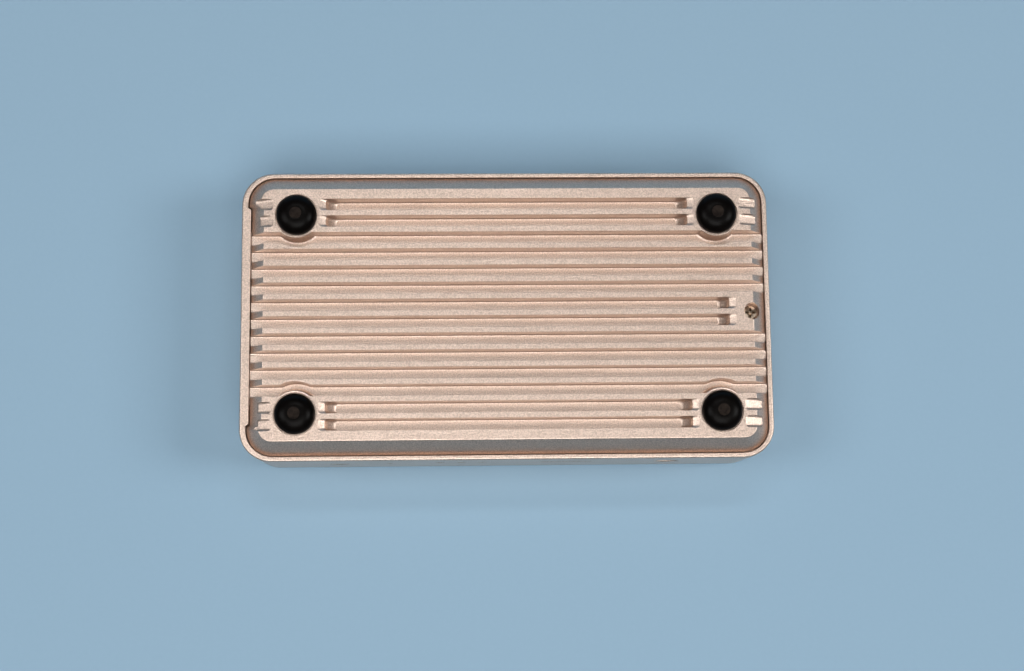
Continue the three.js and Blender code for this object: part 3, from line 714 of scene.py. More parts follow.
for i, (x0, x1, first, rows, ramp) in enumerate(grooves):
    cutter = grooveCutter("groove%d" % i, x0, x1, ramp)
    cutters.append(cutter)
    grow(basePlate, rowCut, Shape=cutter, Count=rows, First=(0, first * mm, 0),
         Pitch=(0, base["pitch"] * mm, 0), Finish=anodised)
evaluated(basePlate)
discard(cutters)
carve(basePlate, [bulgeCutter("bulge%d" % i, x, y) for i, (x, y) in enumerate(footAt)])
pedestalLow, pedestalHigh = boxOf("processor")
tabs = [softBlock("tab", baseLow.x, plateX[0] + 1.5, side - 6, side + 6, base["bottom"], base["bottom"] + 1,
                  0.12)
        for side in (-15, 15)]
pedestal = softBlock("pedestal", pedestalLow.x, pedestalHigh.x, pedestalLow.y, pedestalHigh.y,
                     base["bottom"] - base["pedestal"], base["bottom"] + 1, 0.15, 0.8)
weld(basePlate, [footLand("land%d" % i, x, y) for i, (x, y) in enumerate(footAt)] + tabs + [pedestal])
seatCutters = []
for i, (x, y) in enumerate(footAt):
    seat, top = base["seat"], base["top"]
    profile = [(0, top - base["seatDepth"]), (seat, top - base["seatDepth"]), (seat, top - 0.06),
               (seat + 0.02, top - 0.02), (seat + 0.06, top), (seat + 0.06, top + 1), (0, top + 1)]
    seatCutters.append(lathe("seat%d" % i, profile, (x, y), 64))
boreFloor = screwHigh.z - base["screwSeat"]
bore = drill("bore", base["bore"], boreFloor, base["top"] + 1, (screwX, 0), 48)
hole = drill("hole", base["hole"], base["bottom"] - 1, base["top"], (screwX, 0), 32)
carve(basePlate, seatCutters + [bore, hole])
dress(basePlate, anodised, "base", "anodised", "finned_base")

print("stage: housing shell")

shell = {
    "lid": 1.6, "lidEdge": 1.2, "rimEdge": 0.45, "corner": 7.5, "inner": 6.35, "rimLeft": -60.35,
    "rimCorner": -61.05, "rimRight": 61.35, "rimSide": 33.15, "cavityRight": 60.2, "cavitySide": 32.2,
    "clearance": 0.3, "stepIn": 25.4, "stepOut": 25.925, "cavityCorner": 5.4, "post": 2.6, "postFoot": 3.1,
    "pilot": 1.03, "bossFloor": 13.1,
}
cardMouth = {"half": 6, "low": 1.5, "high": 0.4}  # low and high are measured down from the board
audioDrop = 2.8  # from the board to the axis of the socket
shellLow, shellHigh = boxOf("housing_shell")
boardLow, boardHigh = boxOf("main_board")


def shellRing(inset, level):
    return ringAt(roundRect(shellLow.x + inset, shellHigh.x - inset, shellLow.y + inset, shellHigh.y - inset,
                            shell["corner"] - inset, 14), level)


def shellBody():
    rings = []
    for step in range(9):
        angle = math.radians(90 * step / 8)
        rings.append(shellRing(shell["lidEdge"] * (1 - math.sin(angle)),
                               shell["lidEdge"] * (1 - math.cos(angle))))
    for step in range(7):
        angle = math.radians(90 * step / 6)
        rings.append(shellRing(shell["rimEdge"] * (1 - math.cos(angle)),
                               shellHigh.z - shell["rimEdge"] * (1 - math.sin(angle))))
    return loft("housingShell", rings)


def pocketRing(grow, level):
    return ringAt(steppedOutline(shell["rimLeft"], shell["rimCorner"], shell["rimRight"], shell["rimSide"],
                                 shell["inner"], shell["stepIn"], shell["stepOut"], -grow), level)


def cavityRing(level):
    return ringAt(steppedOutline(shell["rimLeft"], shell["rimCorner"] + 0.03, shell["cavityRight"],
                                 shell["cavitySide"], shell["cavityCorner"], shell["stepIn"],
                                 shell["stepOut"]), level)


def wallCutter(name, outline, mouth, inside, flare=0.15):  # outline takes a growth; the mouth is chamfered
    away = 1 if mouth > inside else -1
    return loft(name, [ringAt(outline(flare), mouth + away, "Y"), ringAt(outline(flare), mouth, "Y"),
                       ringAt(outline(0), mouth - away * flare, "Y"), ringAt(outline(0), inside, "Y")])


def portOutline(low, high, radius):
    gap = shell["clearance"]
    return lambda grow: roundRect(low.x - gap - grow, high.x + gap + grow, low.z - gap - grow,
                                  boardLow.z + gap + grow, radius + grow, 5)


def roundOutline(x, z, radius):
    return lambda grow: [(x + (radius + grow) * math.cos(2 * math.pi * i / 40),
                          z + (radius + grow) * math.sin(2 * math.pi * i / 40)) for i in range(40)]


rimTop = shellHigh.z
pocket = loft("pocket", [pocketRing(0, base["bottom"]), pocketRing(0, rimTop - 0.1),
                         pocketRing(0.03, rimTop - 0.03), pocketRing(0.1, rimTop),
                         pocketRing(0.1, rimTop + 1)])
cavity = loft("cavity", [cavityRing(shell["lid"]), cavityRing(base["bottom"] + 0.5)])
housing = carve(shellBody(), [pocket, cavity])
postAt = [tuple((low + high) / 2)[:2] for low, high in (boxOf("board_screw_%d" % i) for i in (1, 2, 3, 4))]
posts = []
for i, (x, y) in enumerate(postAt):
    posts.append(lathe("post%d" % i, [(0, 0.8), (shell["postFoot"], 0.8), (shell["postFoot"], shell["lid"]),
                                      (shell["post"] + 0.1, 2.0), (shell["post"], 2.6),
                                      (shell["post"], boardLow.z - 0.15), (shell["post"] - 0.15, boardLow.z),
                                      (0, boardLow.z)], (x, y), 40))
posts.append(lathe("boss", [(0, 0.8), (shell["post"], 0.8), (shell["post"], base["bottom"] - 0.1),
                            (shell["post"] - 0.1, base["bottom"]), (0, base["bottom"])], (screwX, 0), 40))
posts.append(softBlock("web", screwX, shell["cavityRight"] + 0.5, -shell["post"], shell["post"], 0.8,
                       base["bottom"], 0.02))
weld(housing, posts)
fronts = {"power_port_shell": 1.6, "video_port_shell": 0.5, "usb_port_1_shell": 0.5, "usb_port_2_shell": 0.5,
          "ethernet_jack_1_shield": 0.4, "ethernet_jack_2_shield": 0.4}
holes = []
for node, radius in fronts.items():
    low, high = boxOf(node)
    holes.append(wallCutter(node, portOutline(low, high, radius), shellHigh.y, shell["cavitySide"] - 1))
powerLow, powerHigh = boxOf("power_button")
resetLow, resetHigh = boxOf("reset_button")
audioLow, audioHigh = boxOf("audio_jack")
cardLow, cardHigh = boxOf("card_socket_cover")
keyZ = (powerLow.z + powerHigh.z) / 2
bores = [((powerLow.x + powerHigh.x) / 2, keyZ, 2.3), ((resetLow.x + resetHigh.x) / 2, keyZ, 0.7),
         ((audioLow.x + audioHigh.x) / 2, boardLow.z - audioDrop, 2.9)]
for i in (1, 2, 3):
    low, high = boxOf("light_guide_%d" % i)
    bores.append(((low.x + high.x) / 2, (low.z + high.z) / 2, 1.0))
for i, (x, z, radius) in enumerate(bores):
    holes.append(wallCutter("bore%d" % i, roundOutline(x, z, radius), shellLow.y, 1 - shell["cavitySide"]))
cardX = (cardLow.x + cardHigh.x) / 2
holes.append(wallCutter("cardMouth", lambda grow: roundRect(
    cardX - cardMouth["half"] - grow, cardX + cardMouth["half"] + grow, boardLow.z - cardMouth["low"] - grow,
    boardLow.z - cardMouth["high"] + grow, 0.3 + grow, 4),
    shellLow.y, 1 - shell["cavitySide"]))
for side in (-15, 15):
    holes.append(softBlock("slot", plateX[0] - 1.2, plateX[0], side - 6.3, side + 6.3, base["bottom"] - 0.3,
                           base["bottom"] + 1.15, 0.08))
for i, (x, y) in enumerate(postAt):
    holes.append(drill("pilot%d" % i, shell["pilot"], boardLow.z - 5.5, boardLow.z + 1, (x, y), 24))
holes.append(drill("bossHole", base["hole"], shell["bossFloor"], rimTop, (screwX, 0), 32))
carve(housing, holes)
dress(housing, anodised, "root", "anodised", "housing_shell")

print("stage: feet and base screw")

foot = {"radius": 4.75, "tip": 1.4, "collar": 0.2, "steps": 48}
for i, (x, y) in enumerate(footAt, 1):
    low, high = boxOf("rubber_foot_%d" % i)
    rise = high.z - base["top"] - foot["collar"]
    profile = [(0, low.z), (foot["radius"] - 0.1, low.z), (foot["radius"], low.z + 0.1)]
    for step in range(13):
        angle = math.radians(90 * step / 12)
        profile.append((foot["tip"] + (foot["radius"] - foot["tip"]) * math.cos(angle),
                        base["top"] + foot["collar"] + rise * math.sin(angle)))
    profile[-1] = (foot["tip"], high.z)
    profile += [(foot["tip"] - 0.1, high.z - 0.03), (foot["tip"] - 0.25, high.z - 0.12), (0, high.z - 0.12)]
    dome = lathe("rubberFoot%d" % i, profile, (x, y), foot["steps"])
    paint(dome, rubber)
    dome.data.materials.append(paintedTipHighlight)
    # faces of the flat tip take the paler colour, a painted highlight
    for face in dome.data.polygons:
        offset = face.center / mm - Vector((x, y, base["top"]))
        if offset.z > 0 and offset.xy.length < foot["tip"]:
            face.material_index = 1
    finish(smooth(dome, 40), "base", "rubber", "rubber_foot_%d" % i)

screw = {"shank": 1.0, "head": 1.75, "headHeight": 1.2}


def crossScrew(name, node, head, headHeight, shank, plating):
    low, high = boxOf(node)
    x, y, _ = middle(low, high)
    seat = high.z - headHeight
    profile = [(0, low.z), (shank * 0.7, low.z), (shank * 0.95, low.z + 0.3)]
    level = low.z + 0.3
    while level < seat - 0.8:  # thread, as plain rings
        profile += [(shank * 0.80, level + 0.1), (shank, level + 0.25)]
        level += 0.4
    profile += [(shank * 0.82, seat - 0.3), (shank * 0.85, seat), (head - 0.1, seat), (head, seat + 0.1)]
    for step in range(7):
        angle = math.radians(90 * step / 6)
        profile.append((head - 0.4 * (1 - math.cos(angle)), high.z - 0.45 * (1 - math.sin(angle))))
    profile += [(head * 0.5, high.z), (0, high.z)]
    body = lathe(name, profile, (x, y), 40)
    reach, wide, deep = head * 0.62, head * 0.17, headHeight * 0.65
    rings = []
    for part, level in ((1.06, high.z + 0.3), (1.0, high.z), (0.35, high.z - deep)):
        rings.append(ringAt([(-0.05, -wide * part), (reach * part, -wide * part * 0.8),
                             (reach * part, wide * part * 0.8), (-0.05, wide * part)], level))
    wing = loft("wing", rings)
    grow(body, ringCut, Shape=wing, Count=4, Centre=(x * mm, y * mm, 0), Finish=plating)
    evaluated(body)
    discard([wing])
    return smooth(paint(body, plating), 35)


finish(crossScrew("baseScrew", "base_screw", screw["head"], screw["headHeight"], screw["shank"], bronze),
       "screw", "steel", "base_screw")
for i in (1, 2, 3, 4):
    finish(crossScrew("boardScrew%d" % i, "board_screw_%d" % i, 1.8, 1.2, 0.95, steel),
           "root", "steel", "board_screw_%d" % i)

print("stage: ports")


def rowOf(name, shape, count, first, pitch, material):  # copies of one shape along a line
    host = makeObject(name, [], [])
    grow(host, row, Shape=shape, Count=count, First=Vector(first) * mm, Pitch=Vector(pitch) * mm,
         Finish=material)
    evaluated(host)
    discard([shape])
    return host


def strip(name, path, width, thick):  # a bent strip of metal; path runs in Y and Z
    rings = []
    for i, (y, z) in enumerate(path):
        before, after = path[max(0, i - 1)], path[min(len(path) - 1, i + 1)]
        along = Vector((after[0] - before[0], after[1] - before[1])).normalized()
        out = Vector((-along.y, along.x)) * thick / 2
        a, b = Vector((y, z)) + out, Vector((y, z)) - out
        rings.append([(-width / 2, a.x, a.y), (width / 2, a.x, a.y), (width / 2, b.x, b.y),
                      (-width / 2, b.x, b.y)])
    return loft(name, rings)


def leafSpring(path, width, thick, at, turn=0):
    leaf = strip("leaf", path, width, thick)
    leaf.data.transform(Matrix.Rotation(math.radians(turn), 4, "Y"))
    leaf.data.transform(Matrix.Translation(Vector(at) * mm))
    return paint(leaf, tin)


def assemble(name, things, body, slotName, *nodes):
    return finish(smooth(gather(name, things)), body, slotName, *nodes)


jack = {"wall": 0.4, "edge": 0.3, "pins": 8, "pinPitch": 1.02, "pinWidth": 0.42, "plug": (11.9, 8.0),
        "lip": 1.8,
        "latch": (6.2, 1.5), "tip": (3.8, 1.0), "depth": 14, "latchDepth": 8.4, "lamp": (2.3, 1.5)}


def glowLook(dark, light):
    def look(place):
        swirl = place.noise(1500, 2.0)
        return {"Base Color": swirl.blend(dark, light), "Roughness": 0.18 + swirl * 0.15}
    return look


greenLens = makeMaterial("greenLens", {"Transmission Weight": 0.25},
                         glowLook((0.10, 0.42, 0.14, 1), (0.18, 0.60, 0.22, 1)))
amberLens = makeMaterial("amberLens", {"Transmission Weight": 0.25},
                         glowLook((0.62, 0.30, 0.04, 1), (0.80, 0.45, 0.08, 1)))


def box3(name, x0, x1, y0, y1, z0, z1):
    return loft(name, [ringAt([(x0, y0), (x1, y0), (x1, y1), (x0, y1)], z) for z in (z0, z1)])


def networkJack(i):
    low, high = boxOf("ethernet_jack_%d_shield" % i)
    x = (low.x + high.x) / 2
    mouth, wall = high.y, jack["wall"]
    shield = softBlock("networkShield", low.x, high.x, low.y, mouth, low.z, high.z, jack["edge"], 0.5, "Y")
    hollow = softBlock("hollow", low.x + wall, high.x - wall, low.y + wall, mouth + 1, low.z + wall,
                       high.z + 1, 0.05, 0.25, "Y")
    windows = [box3("window", low.x - 1, high.x + 1, mouth - 9.5, mouth - 4.5, level, level + 2.0)
               for level in (5.0, 10.2)]
    carve(shield, [hollow] + windows)
    bend = [(mouth - 9.8, 0), (mouth - 7.2, 0.22), (mouth - 5.2, 0.22), (mouth - 4.8, 0)]
    springs = [leafSpring(bend, 1.5, 0.14, (x + side * (8 - 0.3), 0, level), 90 * side)
               for side in (-1, 1) for level in (6.0, 11.2)]
    assemble("networkShield%d" % i, [paint(shield, tin)] + springs, "root", "tin",
             "ethernet_jack_%d_shield" % i)
    low, high = boxOf("ethernet_jack_%d_insert" % i)
    plugTop = boardLow.z - jack["lip"]
    plugLow = plugTop - jack["plug"][1]
    latchLow = plugLow - jack["latch"][1]
    block = softBlock("networkInsert", *spans(low, high), 0.15, 0.3, "Y")
    cuts = [(jack["plug"][0], plugLow, plugTop, jack["depth"]),
            (jack["latch"][0], latchLow, plugLow + 1, jack["latchDepth"]),
            (jack["tip"][0], latchLow - jack["tip"][1], latchLow + 1, jack["latchDepth"])]
    mouthCuts = []
    for width, z0, z1, depth in cuts:
        rings = [ringAt(roundRect(x - width / 2 - g, x + width / 2 + g, z0 - g, z1 + g, 0.12 + g, 3), y, "Y")
                 for g, y in ((0.2, mouth + 1), (0.2, high.y), (0, high.y - 0.3), (0, mouth - depth))]
        mouthCuts.append(loft("plugHole", rings))
    carve(block, mouthCuts)
    parts = [paint(block, black)]
    for side, lens in ((-1, greenLens), (1, amberLens)):
        wide, tall = jack["lamp"]
        at = x + side * 5.9
        parts.append(paint(softBlock("lamp", at - wide / 2, at + wide / 2, high.y - 1.2, high.y + 0.08,
                                     low.z + 0.45, low.z + 0.45 + tall, 0.1, 0.2, "Y"), lens))
    wire = strip("wire", [(mouth - 12.6, plugTop - 0.9), (mouth - 9.5, plugTop - 2.5),
                          (mouth - 6.2, plugTop - 1.6),
                          (mouth - 3.0, plugTop - 0.35), (mouth - 2.2, plugTop - 0.2)], jack["pinWidth"], 0.2)
    first = x - jack["pinPitch"] * (jack["pins"] - 1) / 2
    parts.append(rowOf("wires", wire, jack["pins"], (first, 0, 0), (jack["pinPitch"], 0, 0), gold))
    rib = box3("rib", -0.14, 0.14, mouth - 13, mouth - 2.0, plugTop - 0.5, plugTop + 0.2)
    parts.append(rowOf("combs", rib, jack["pins"] + 1, (first - jack["pinPitch"] / 2, 0, 0),
                       (jack["pinPitch"], 0, 0), black))
    assemble("networkInsert%d" % i, parts, "root", "black", "ethernet_jack_%d_insert" % i)


for i in (1, 2):
    networkJack(i)

usb = {"wall": 0.35, "corner": 0.5, "tongue": (11.1, 1.9, 9.5), "root": 0.6}


def sleeve(name, outline, low, high, wall, extra=()):  # outline takes an inset
    steps = ((0.12, low.y), (0.03, low.y + 0.06), (0, low.y + 0.15), (0, high.y - 0.12),
             (0.03, high.y - 0.04), (0.10, high.y))
    body = loft(name, [ringAt(outline(inset), y, "Y") for inset, y in steps])
    bore = loft("bore", [ringAt(outline(inset), y, "Y") for inset, y in
                         ((wall, low.y + wall), (wall, high.y - 0.12), (wall - 0.08, high.y),
                          (wall - 0.08, high.y + 1))])
    return paint(carve(body, [bore] + list(extra)), tin)


def moulding(outline, low, wall, tongueBox, material):
    root = loft("root", [ringAt(outline(wall + 0.05), y, "Y") for y in (low.y, tongueBox[2])])
    x0, x1, y0, y1, z0, z1 = tongueBox
    blade = softBlock("blade", x0, x1, y0 - 0.4, y1, z0, z1, 0.12, 0.2, "Y")
    return paint(weld(root, [blade]), material)


def usbPort(i):
    low, high = boxOf("usb_port_%d_shell" % i)
    x, mouth = (low.x + high.x) / 2, high.y

    def outline(inset):
        return roundRect(low.x + inset, high.x - inset, low.z + inset, high.z - inset,
                         usb["corner"] * 1.4 - inset, 5)

    slots = [box3("slot", x + side * 3 - 1.1, x + side * 3 + 1.1, mouth - 7.5, mouth - 2.5,
                  low.z - 0.6, low.z + 0.6) for side in (-1, 1)]
    shellParts = [sleeve("usbShell", outline, low, high, usb["wall"], slots)]
    bend = [(mouth - 7.8, low.z + 0.2), (mouth - 4.5, low.z + 0.75), (mouth - 3.4, low.z + 0.7),
            (mouth - 2.6, low.z + 0.35)]
    shellParts += [leafSpring(bend, 1.8, 0.16, (x + side * 3, 0, 0)) for side in (-1, 1)]
    assemble("usbShell%d" % i, shellParts, "root", "tin", "usb_port_%d_shell" % i)
    tLow, tHigh = boxOf("usb_port_%d_tongue" % i)
    wide, thick, long = usb["tongue"]
    level = high.z - usb["wall"] - thick
    rootY = mouth - usb["root"] - long
    parts = [moulding(outline, tLow, usb["wall"],
                      (x - wide / 2, x + wide / 2, rootY, tHigh.y, level - thick / 2, level + thick / 2),
                      blue)]
    face = level - thick / 2
    pad = softBlock("pad", -0.5, 0.5, mouth - 7.8, mouth - 1.6, face - 0.06, face + 0.1, 0.03)
    parts.append(rowOf("pads", pad, 4, (x - 3.5, 0, 0), (7.0 / 3, 0, 0), gold))
    spring = strip("spring", [(rootY + 0.1, face - 0.02), (rootY + 0.9, face - 0.3),
                              (rootY + 1.6, face - 0.02)], 0.6, 0.14)
    parts.append(rowOf("springs", spring, 5, (x - 4, 0, 0), (2, 0, 0), gold))
    assemble("usbTongue%d" % i, parts, "root", "blue", "usb_port_%d_tongue" % i)


for i in (1, 2):
    usbPort(i)

videoLow, videoHigh = boxOf("video_port_shell")
video = {"wall": 0.35, "skirt": 2.2, "tongue": (10.6, 1.4, 7.5), "back": 0.6, "pins": (10, 9), "pitch": 1,
         "pad": (0.22, 1.2, 7, 0.05, 0.02)}  # half width, near, far, depth, edge


def videoOutline(inset):
    x0, x1, z0, z1 = videoLow.x, videoHigh.x, videoLow.z, videoHigh.z
    skirt = video["skirt"]
    corners = [(x0 + skirt + inset / 2, z0 + inset), (x1 - skirt - inset / 2, z0 + inset),
               (x1 - inset, z0 + skirt + inset / 2), (x1 - inset, z1 - inset), (x0 + inset, z1 - inset),
               (x0 + inset, z0 + skirt + inset / 2)]
    points = []
    for i, corner in enumerate(corners):
        corner = Vector(corner)
        before = (Vector(corners[i - 1]) - corner).normalized() * 0.35
        after = (Vector(corners[(i + 1) % 6]) - corner).normalized() * 0.35
        points += [(p[0], p[1]) for p in curveBetween(tuple(corner + before), tuple(corner),
                                                      tuple(corner + after), 3)]
    return points


ends = (videoLow.x + 5, videoHigh.x - 5)
slots = [box3("slot", x - 0.9, x + 0.9, videoHigh.y - 6.5, videoHigh.y - 2.2, videoLow.z - 0.6,
              videoLow.z + 0.5) for x in ends]
bend = [(videoHigh.y - 6.8, videoLow.z + 0.2), (videoHigh.y - 4, videoLow.z + 0.6),
        (videoHigh.y - 2.3, videoLow.z + 0.3)]
parts = [sleeve("videoShell", videoOutline, videoLow, videoHigh, video["wall"], slots)]
parts += [leafSpring(bend, 1.4, 0.15, (x, 0, 0)) for x in ends]
assemble("videoShell", parts, "root", "tin", "video_port_shell")


def portTongue(name, node, outline, low, high, port):  # a blade with a row of pads on both faces
    tLow, tHigh = boxOf(node)
    x, _, z = middle(low, high)
    wide, thick, long = port["tongue"]
    parts = [moulding(outline, tLow, port["wall"],
                      (x - wide / 2, x + wide / 2, high.y - port["back"] - long, tHigh.y, z - thick / 2,
                       z + thick / 2), black)]
    half, near, far, deep, edge = port["pad"]
    for side, count in zip((-1, 1), port["pins"]):
        face = z + side * thick / 2
        pad = softBlock("pad", -half, half, high.y - far, high.y - near, face - deep, face + deep, edge)
        parts.append(rowOf("pads", pad, count, (x - port["pitch"] * (count - 1) / 2, 0, 0),
                           (port["pitch"], 0, 0), gold))
    assemble(name, parts, "root", "black", node)


portTongue("videoTongue", "video_port_tongue", videoOutline, videoLow, videoHigh, video)

plugLow, plugHigh = boxOf("power_port_shell")
supply = {"wall": 0.25, "tongue": (6.0, 0.7, 5.0), "back": 0.6, "pins": (12, 12), "pitch": 0.5,
          "pad": (0.13, 1.0, 4.6, 0.04, 0.015)}


def supplyOutline(inset):
    return roundRect(plugLow.x + inset, plugHigh.x - inset, plugLow.z + inset, plugHigh.z - inset,
                     1.59 - inset, 8)


shellPiece = sleeve("supplyShell", supplyOutline, plugLow, plugHigh, supply["wall"])
finish(smooth(shellPiece), "root", "tin", "power_port_shell")
portTongue("supplyTongue", "power_port_tongue", supplyOutline, plugLow, plugHigh, supply)

print("stage: button side")

low, high = audioLow, audioHigh
x, z, nose = (low.x + high.x) / 2, boardLow.z - audioDrop, low.y
bodyFront = -31.9
body = softBlock("audioJack", low.x, high.x, bodyFront, high.y, low.z, high.z, 0.25, 0.4, "Y")
snout = lathe("snout", [(0, nose), (2.3, nose), (2.52, nose + 0.06), (2.6, nose + 0.2), (2.6, bodyFront + 1),
                        (0, bodyFront + 1)], (x, z), 48, "Y")
body = weld(body, [snout])
bore = lathe("bore", [(0, nose - 1), (2.0, nose - 1), (2.0, nose), (1.8, nose + 0.25), (1.8, nose + 11),
                      (0, nose + 11)], (x, z), 40, "Y")
carve(body, [bore])
ferrule = lathe("ferrule", [(1.72, nose + 0.6), (1.79, nose + 0.6), (1.79, nose + 3.2), (1.72, nose + 3.2),
                            (1.72, nose + 0.6)], (x, z), 40, "Y")
fingers = [paint(softBlock("finger", x - 0.4, x + 0.4, nose + 4.0, nose + 8.0, z + 1.35, z + 1.79, 0.1),
                 gold)]
assemble("audioJack", [paint(body, black), paint(ferrule, gold)] + fingers, "root", "black", "audio_jack")

low, high = cardLow, cardHigh
cover = softBlock("cardCover", *spans(low, high), 0.15, 0.3)
inner = softBlock("inner", low.x + 0.2, high.x - 0.2, low.y - 1, high.y - 0.2, low.z + 0.2, high.z + 1, 0.03)
windows = [box3("window", x0, x1, y0, y1, low.z - 1, low.z + 0.5) for x0, x1, y0, y1 in (
    (low.x + 2, low.x + 4.2, low.y + 4, low.y + 7), (high.x - 4.2, high.x - 2, low.y + 4, low.y + 7),
    (low.x + 5.5, high.x - 5.5, high.y - 4.5, high.y - 3))]
cover = carve(cover, [inner] + windows)
dress(cover, tin, "root", "tin", "card_socket_cover")
low, high = boxOf("card_socket_tray")
tray = softBlock("cardTray", *spans(low, high), 0.08, 0.4)
finger = strip("finger", [(low.y + 7.5, low.z + 0.05), (low.y + 9, low.z - 0.28),
                          (low.y + 10.2, low.z + 0.05)], 0.55, 0.12)
pins = rowOf("pins", finger, 8, ((low.x + high.x) / 2 - 3.85, 0, 0), (1.1, 0, 0), gold)
assemble("cardTray", [paint(tray, black), pins], "root", "black", "card_socket_tray")

low, high = powerLow, powerHigh
x = (low.x + high.x) / 2
cap = lathe("powerButton", [(0, low.y + 0.10), (0.9, low.y + 0.08), (1.5, low.y + 0.03), (1.85, low.y),
                            (2.0, low.y + 0.05),
                            (2.1, low.y + 0.18), (2.1, high.y - 0.8), (2.9, high.y - 0.8),
                            (3.0, high.y - 0.7),
                            (3.0, high.y - 0.08), (2.92, high.y), (0, high.y)], (x, keyZ), 56, "Y")
dress(cap, anodised, "power_key", "anodised", "power_button")
low, high = resetLow, resetHigh
x = (low.x + high.x) / 2
cap = lathe("resetButton", [(0, low.y), (1.7, low.y), (1.8, low.y + 0.1), (1.8, high.y - 0.1), (1.7, high.y),
                            (0, high.y)], (x, keyZ), 40, "Y")
dress(cap, black, "reset_key", "black", "reset_button")
for key, bodyName in (("power", "power_key"), ("reset", "reset_key")):
    low, high = boxOf(key + "_plunger")
    x = (low.x + high.x) / 2
    stem = lathe(key + "Plunger", [(0, low.y), (1.35, low.y), (1.35, high.y - 0.12), (1.22, high.y),
                                   (0, high.y)],
                 (x, keyZ), 32, "Y")
    dress(stem, black, bodyName, "black", key + "_plunger")
    low, high = boxOf(key + "_switch")
    case = softBlock(key + "Switch", *spans(low, high), 0.12, 0.3, "Y")
    bore = drill("bore", 1.5, low.y - 1, low.y + 1.6, (x, keyZ), 32, "Y")
    carve(case, [bore])
    assemble(key + "Switch", [paint(case, black)], "root", "black", key + "_switch")

for i in (1, 2, 3):
    low, high = boxOf("light_guide_%d" % i)
    x, _, z = middle(low, high)
    rod = lathe("lightGuide%d" % i, [(0, low.y), (0.35, low.y + 0.02), (0.65, low.y + 0.10),
                                     (0.84, low.y + 0.25),
                                     (0.9, low.y + 0.45), (0.9, high.y - 0.05), (0.85, high.y), (0, high.y)],
                (x, z), 32, "Y")
    finish(smooth(paint(rod, clear), 40), "root", "clear", "light_guide_%d" % i)
    low, high = boxOf("light_chip_%d" % i)
    lamp = softBlock("lightChip%d" % i, *spans(low, high), 0.08, 0.12)
    dress(lamp, phosphor, "root", "light", "light_chip_%d" % i)

print("stage: board")

board = {"corner": 5, "notch": 3.1, "hole": 1.15, "ring": 2.5, "seed": 7}
low, high = boardLow, boardHigh


def boardOutline(inset):
    return roundRect(low.x + inset, high.x - inset, low.y + inset, high.y - inset, board["corner"] - inset,
                     10)


slab = loft("mainBoard", [ringAt(boardOutline(i), z) for i, z in
                          ((0.06, low.z), (0, low.z + 0.06), (0, high.z - 0.06), (0.06, high.z))])
cuts = [softBlock("notch", screwX - board["notch"], high.x + 1, -board["notch"], board["notch"], low.z - 1,
                  high.z + 1, 0.3, 0.8)]
for x, y in postAt:
    cuts.append(drill("hole", board["hole"], low.z - 1, high.z + 1, (x, y), 32))
carve(slab, cuts)
parts = [paint(slab, boardMask)]
for x, y in postAt:
    ring = lathe("ring", [(board["hole"] + 0.02, high.z - 0.02), (board["ring"], high.z - 0.02),
                          (board["ring"], high.z + 0.035), (board["hole"] + 0.02, high.z + 0.035),
                          (board["hole"] + 0.02, high.z - 0.02)], (x, y), 40)
    parts.append(paint(ring, gold))


def scatterTree():  # a shape strewn over a zone in a fixed random order, square to the board
    tree, wires = newTree("scatter", (("Geometry", "Geometry"), ("Shape", "Object"), ("Spacing", "Float"),
                                      ("Density", "Float"), ("Seed", "Int"), ("Finish", "Material")))
    points = wires["Geometry"].make("GeometryNodeDistributePointsOnFaces", {"distribute_method": "POISSON"}, {
        "Mesh": wires["Geometry"], "Distance Min": wires["Spacing"], "Density Max": wires["Density"],
        "Seed": wires["Seed"]})
    pick = points.make("FunctionNodeRandomValue", {"data_type": "INT"}, {4: 0, 5: 1, "Seed": wires["Seed"]},
                       2)
    spin = pick.make("ShaderNodeCombineXYZ", {}, {"Z": pick * (math.pi / 2)})
    return endTree(tree, copiesOf(wires, points, {"Rotation": spin}), wires["Finish"])


scatter = scatterTree()
zones = [  # x from, x to, y from, y to, spacing, scale
    (-53, -43.5, -22, 22, 2.3, 1.0), (-32.5, -15, -23, 23, 2.1, 0.75), (-12, 6, 8.5, 25, 2.2, 0.75),
    (-12, 6, -25, -12.5, 1.9, 0.75), (19.2, 22.6, -24, 14, 1.7, 0.75), (25, 50, 1, 14.5, 2.5, 1.0),
    (38, 51, -24, -2, 2.0, 0.75), (24.5, 35.5, -25, -16.5, 1.9, 1.0), (25, 33, 17, 24, 1.8, 0.75),
]
for i, (x0, x1, y0, y1, spacing, scale) in enumerate(zones):
    for look in (ceramic, tin):
        zone = makeObject("zone", [(x0, y0, high.z), (x1, y0, high.z), (x1, y1, high.z), (x0, y1, high.z)],
                          [(0, 1, 2, 3)])
        long, wide, tall = 0.8 * scale, 0.40 * scale, 0.62 * scale
        if look is ceramic:
            shape = softBlock("chipBody", -long + 0.2, long - 0.2, -wide, wide, -0.01, tall, 0.04, 0.06)
        else:
            ends = [softBlock("end", a, b, -wide * 1.05, wide * 1.05, -0.01, tall * 1.05, 0.06, 0.08)
                    for a, b in ((-long, -long * 0.62), (long * 0.62, long))]
            shape = gather("chipEnds", ends)
        grow(zone, scatter, Shape=shape, Spacing=spacing * mm, Density=250000.0, Seed=board["seed"] + i,
             Finish=look)
        evaluated(zone)
        discard([shape])
        parts.append(zone)
for x, y in ((29, 24.8), (46.5, 20), (-20, -26.5)):
    parts.append(paint(softBlock("crystal", x - 1.6, x + 1.6, y - 1.25, y + 1.25, high.z - 0.01,
                                 high.z + 0.75, 0.12, 0.5), tin))
assemble("mainBoard", parts, "root", "board", "main_board")


